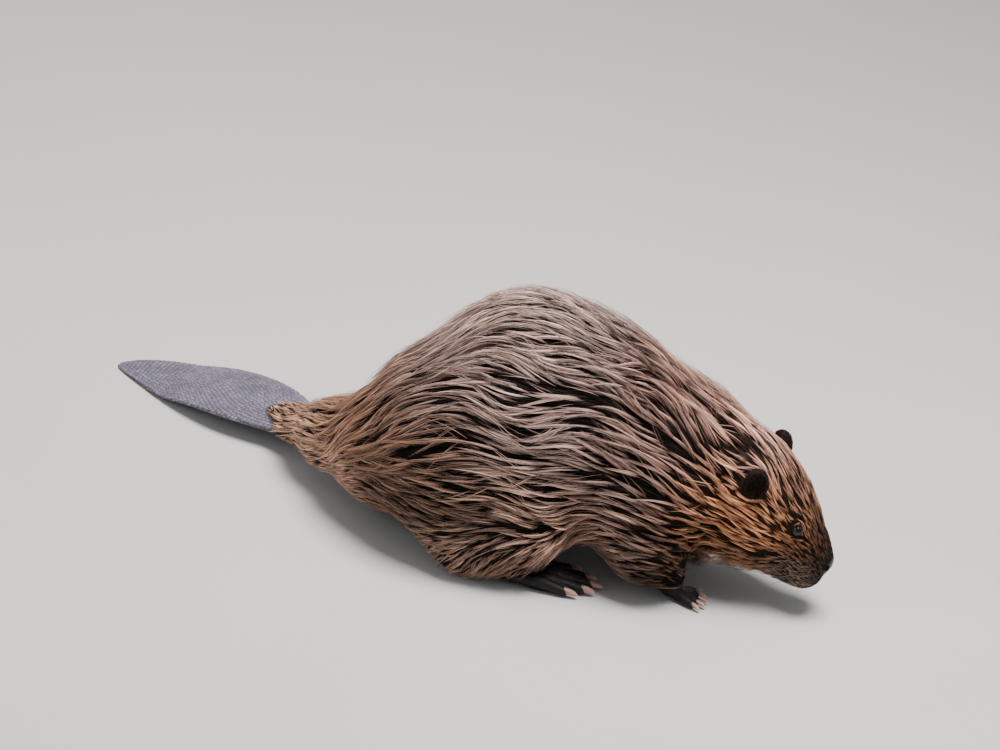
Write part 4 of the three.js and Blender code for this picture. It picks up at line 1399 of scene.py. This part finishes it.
def scale_plates(draw):
    """Hexagonal plates in staggered rows round the tail, evenly spaced along its outline. A
    plate is three rings of six points, the first sunk in the skin and the others raised on
    it, and a middle point, closed underneath. Returns points, triangles, places on the map
    and a random value for each point."""
    tail_length = tail_radius * tail_sweep
    fine_turn = np.linspace(-np.pi, np.pi, 721)
    at_s, at_turn, speed, size = [], [], [], []
    for row, s in enumerate(np.arange(0.03, 0.995, SCALE_LONG * ROW_STEP / tail_length)):
        half, thick, _, closing = paddle_section(s)
        pace = closing * np.hypot(half * np.cos(fine_turn), thick * np.sin(fine_turn))
        run = np.append(0, np.cumsum((pace[1:] + pace[:-1]) / 2 * np.diff(fine_turn)))
        count = max(6, int(run[-1] / SCALE_WIDE))
        at = (np.arange(count) + 0.5 * (row % 2) + draw.uniform(-0.05, 0.05, count)) * run[-1] / count
        turn = np.interp(at % run[-1], run, fine_turn)
        at_s.append(np.full(count, s) + draw.normal(0, 0.3, count) / tail_length)
        at_turn.append(turn)
        speed.append(np.interp(turn, fine_turn, pace))
        size.append(np.full(count, run[-1] / count / SCALE_WIDE))
    at_s, at_turn, speed, size = (np.concatenate(x)[:, None] for x in (at_s, at_turn, speed, size))
    size = size * draw.uniform(0.95, 1.05, size.shape)
    corner = np.radians(np.arange(0, 360, 60))
    points = []
    for share, lift in SCALE_RINGS:
        ds = np.cos(corner) * share * SCALE_LONG / 2 / tail_length
        dt = np.sin(corner) * share * SCALE_WIDE / 2 * SCALE_STRETCH / np.maximum(speed, 3.0)
        points.append(paddle_surface(np.minimum(at_s + ds * size, 1.0), at_turn + dt * size, lift))
    points.append(paddle_surface(at_s, at_turn, SCALE_RISE + SCALE_DOME))
    points = np.concatenate(points, 1)
    points[..., 2] = np.maximum(points[..., 2], LOWEST_SCALE)
    per_plate = points.shape[1]
    pattern = []
    for k in range(6):
        n = (k + 1) % 6
        pattern += [(k, n, n + 6), (k, n + 6, k + 6), (k + 6, n + 6, n + 12), (k + 6, n + 12, k + 12),
                    (k + 12, n + 12, 18)]
    pattern += [(0, k + 1, k) for k in range(1, 5)]
    faces = np.array(pattern)[:, ::-1] + (np.arange(len(at_s)) * per_plate)[:, None, None]
    ring = np.array([[math.cos(a), math.sin(a)] for a in corner])
    ring = np.concatenate([ring, ring * 0.8, ring * 0.5, [[0, 0]]]) * PATCH / 2
    chart = np.stack([at_s, at_turn / (2 * np.pi) + 0.5], -1) + ring
    seeds = np.repeat(draw.uniform(0, 1, len(at_s)), per_plate)
    return points.reshape(-1, 3), faces.reshape(-1, 3), chart.reshape(-1, 2), seeds


scale_material, tree = new_material("wet tail scales", 0.36, 0.5)
place = object_place(tree)
slate = ramp(tree, attribute(tree, "plate", "Fac"), (0.0, (0.130, 0.117, 0.166)),
             (0.6, (0.166, 0.149, 0.206)), (1.0, (0.205, 0.184, 0.248)))
shade, blotch = mottled(tree, slate, place, 26.0, 4.0,
                        (0.35, (0.72, 0.70, 0.70)), (0.62, (1.0, 1.0, 1.0)))
feed(tree, {"Base Color": shade,
            "Roughness": ranged(tree, blotch, (0.3, 0.5), (0.7, 0.3)),
            "Normal": bumped(tree, noise(tree, place, 700.0, 3.0), 0.35, 0.0003)})
plate_points, plate_faces, plate_chart, seeds = scale_plates(np.random.default_rng(21))
scales = new_piece("tail_scales", to_row(plate_points), plate_faces, scale_material, plate=seeds)
lay_map(scales, plate_chart, plate_faces)
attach(scales, "root")


# ------------------------------------------------------------------ whiskers
# Stiff bristles in rows on the upper lips: long, tapering, bent back by their own spring,
# dark at the root and pale at the tip.
def bristles(starts, ways, reach, radius, droop):
    """Each whisker is a closed prism of three sides along a parabola that sinks by its
    droop, and its radius falls as 1 - s to the power 0.7."""
    rings = 8
    s = np.arange(rings + 1) / rings
    flat = unit(np.cross(ways, [0, 0, 1.0]))
    high = np.cross(flat, ways)
    line = (starts[:, None] + ways[:, None] * (s * reach[:, None])[..., None]
            - (droop[:, None] * s ** 2)[..., None] * [0, 0, 1.0])
    wide = radius[:, None] * (1 - s[:rings]) ** 0.7
    corner = np.radians([90, 210, 330])
    ring = np.cos(corner)[:, None] * flat[:, None] + np.sin(corner)[:, None] * high[:, None]
    body = line[:, :rings, None] + wide[..., None, None] * ring[:, None]
    points = np.concatenate([body.reshape(len(starts), -1, 3), line[:, rings:]], 1)
    faces = prism_faces(rings) + (np.arange(len(starts)) * points.shape[1])[:, None, None]
    along = np.broadcast_to(np.append(np.repeat(s[:rings], 3), 1.0), points.shape[:2])
    return points.reshape(-1, 3), faces.reshape(-1, 3), along.ravel()


whisker_material, tree = new_material("whisker", 0.35, 0.5)
whisker_shade = ramp(tree, attribute(tree, "along", "Fac"), (0.0, (0.03, 0.024, 0.02)),
                     (0.5, (0.10, 0.08, 0.065)), (1.0, (0.42, 0.36, 0.30)))
feed(tree, {"Base Color": mottled(tree, whisker_shade, object_place(tree), 600.0, 2.0,
                                  (0.35, (0.75, 0.75, 0.75)), (0.65, (1.0, 1.0, 1.0)))[0]})
WHISKER_ROWS = 4
PER_ROW = 5
WHISKERS = WHISKER_ROWS * PER_ROW  # on each side
WHISKER_SIZES = ((24, 44), (0.34, 0.5), (3, 9))  # least and most reach, radius and droop
WHISKER_SUNK = 0.6
for name, side in SIDES.items():
    draw = np.random.default_rng(31)
    row, place_in_row = np.divmod(np.arange(WHISKERS), PER_ROW)
    starts = np.stack([83 - 7.0 * place_in_row + draw.normal(0, 0.8, WHISKERS), 40 + 0 * row,
                       -4 - 6.0 * row + draw.normal(0, 0.8, WHISKERS)], 1)
    starts = HEAD_MIDDLE + (starts * [1, 0.55 * side, 1]) @ HEAD_AXES
    starts = settle(skin_field, starts.astype(np.float32), 12)
    normal = unit(slope_of(skin_field, starts, 1.0))
    back = unit(-HEAD_AXES[0] * 0.75 - HEAD_AXES[2] * 0.25)
    ways = unit(normal + back + draw.normal(0, 0.12, (WHISKERS, 3)))
    sizes = [draw.uniform(least, most, WHISKERS) for least, most in WHISKER_SIZES]
    whisker_points, whisker_faces, along = bristles(starts - normal * WHISKER_SUNK, ways, *sizes)
    whisker_points[:, 2] = np.maximum(whisker_points[:, 2], 0.5)
    whiskers = new_piece(f"whiskers_{name}", to_row(whisker_points), whisker_faces, whisker_material,
                         along=along)
    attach(whiskers, "root")


# ------------------------------------------------------------------ floor and light
# A plain pale floor that runs far out on all sides, one large soft light overhead and a
# weaker one from the camera's left.
floor_material, tree = new_material("pale floor", 0.85, 0.2)
feed(tree, {"Base Color": mottled(tree, (0.60, 0.585, 0.56, 1), object_place(tree), 3.0, 4.0,
                                  (0.3, (0.97, 0.97, 0.97)), (0.7, (1.0, 1.0, 1.0)))[0]})
FLOOR_HALF = 6.0
FLOOR_DROP = 0.0002  # so that it lies just under the feet
corners = np.array([[-1, -1, 0], [1, -1, 0], [1, 1, 0], [-1, 1, 0]]) * FLOOR_HALF
floor = new_piece("floor", corners - [0, 0, FLOOR_DROP], np.array([[0, 1, 2], [0, 2, 3]]),
                  floor_material)

world = bpy.data.worlds.new("studio")
world.use_nodes = True
world.node_tree.nodes["Background"].inputs["Color"].default_value = (0.92, 0.96, 1.0, 1)
world.node_tree.nodes["Background"].inputs["Strength"].default_value = 0.40
bpy.context.scene.world = world


LIT_MIDDLE = Vector((0, 0, 0.12))


def soft_light(name, place, size, power, colour):
    """A square light that faces the middle of the animal."""
    lamp = bpy.data.lights.new(name, "AREA")
    lamp.size = size
    lamp.energy = power
    lamp.color = colour
    made = bpy.data.objects.new(name, lamp)
    made.location = place
    made.rotation_euler = (LIT_MIDDLE - Vector(place)).to_track_quat("-Z", "Y").to_euler()
    bpy.context.collection.objects.link(made)


soft_light("overhead", (0.4, -0.2, 2.6), size=1.3, power=150, colour=(1.0, 0.975, 0.95))
soft_light("fill", (-2.2, -1.6, 1.3), size=1.4, power=14, colour=(0.9, 0.95, 1.0))
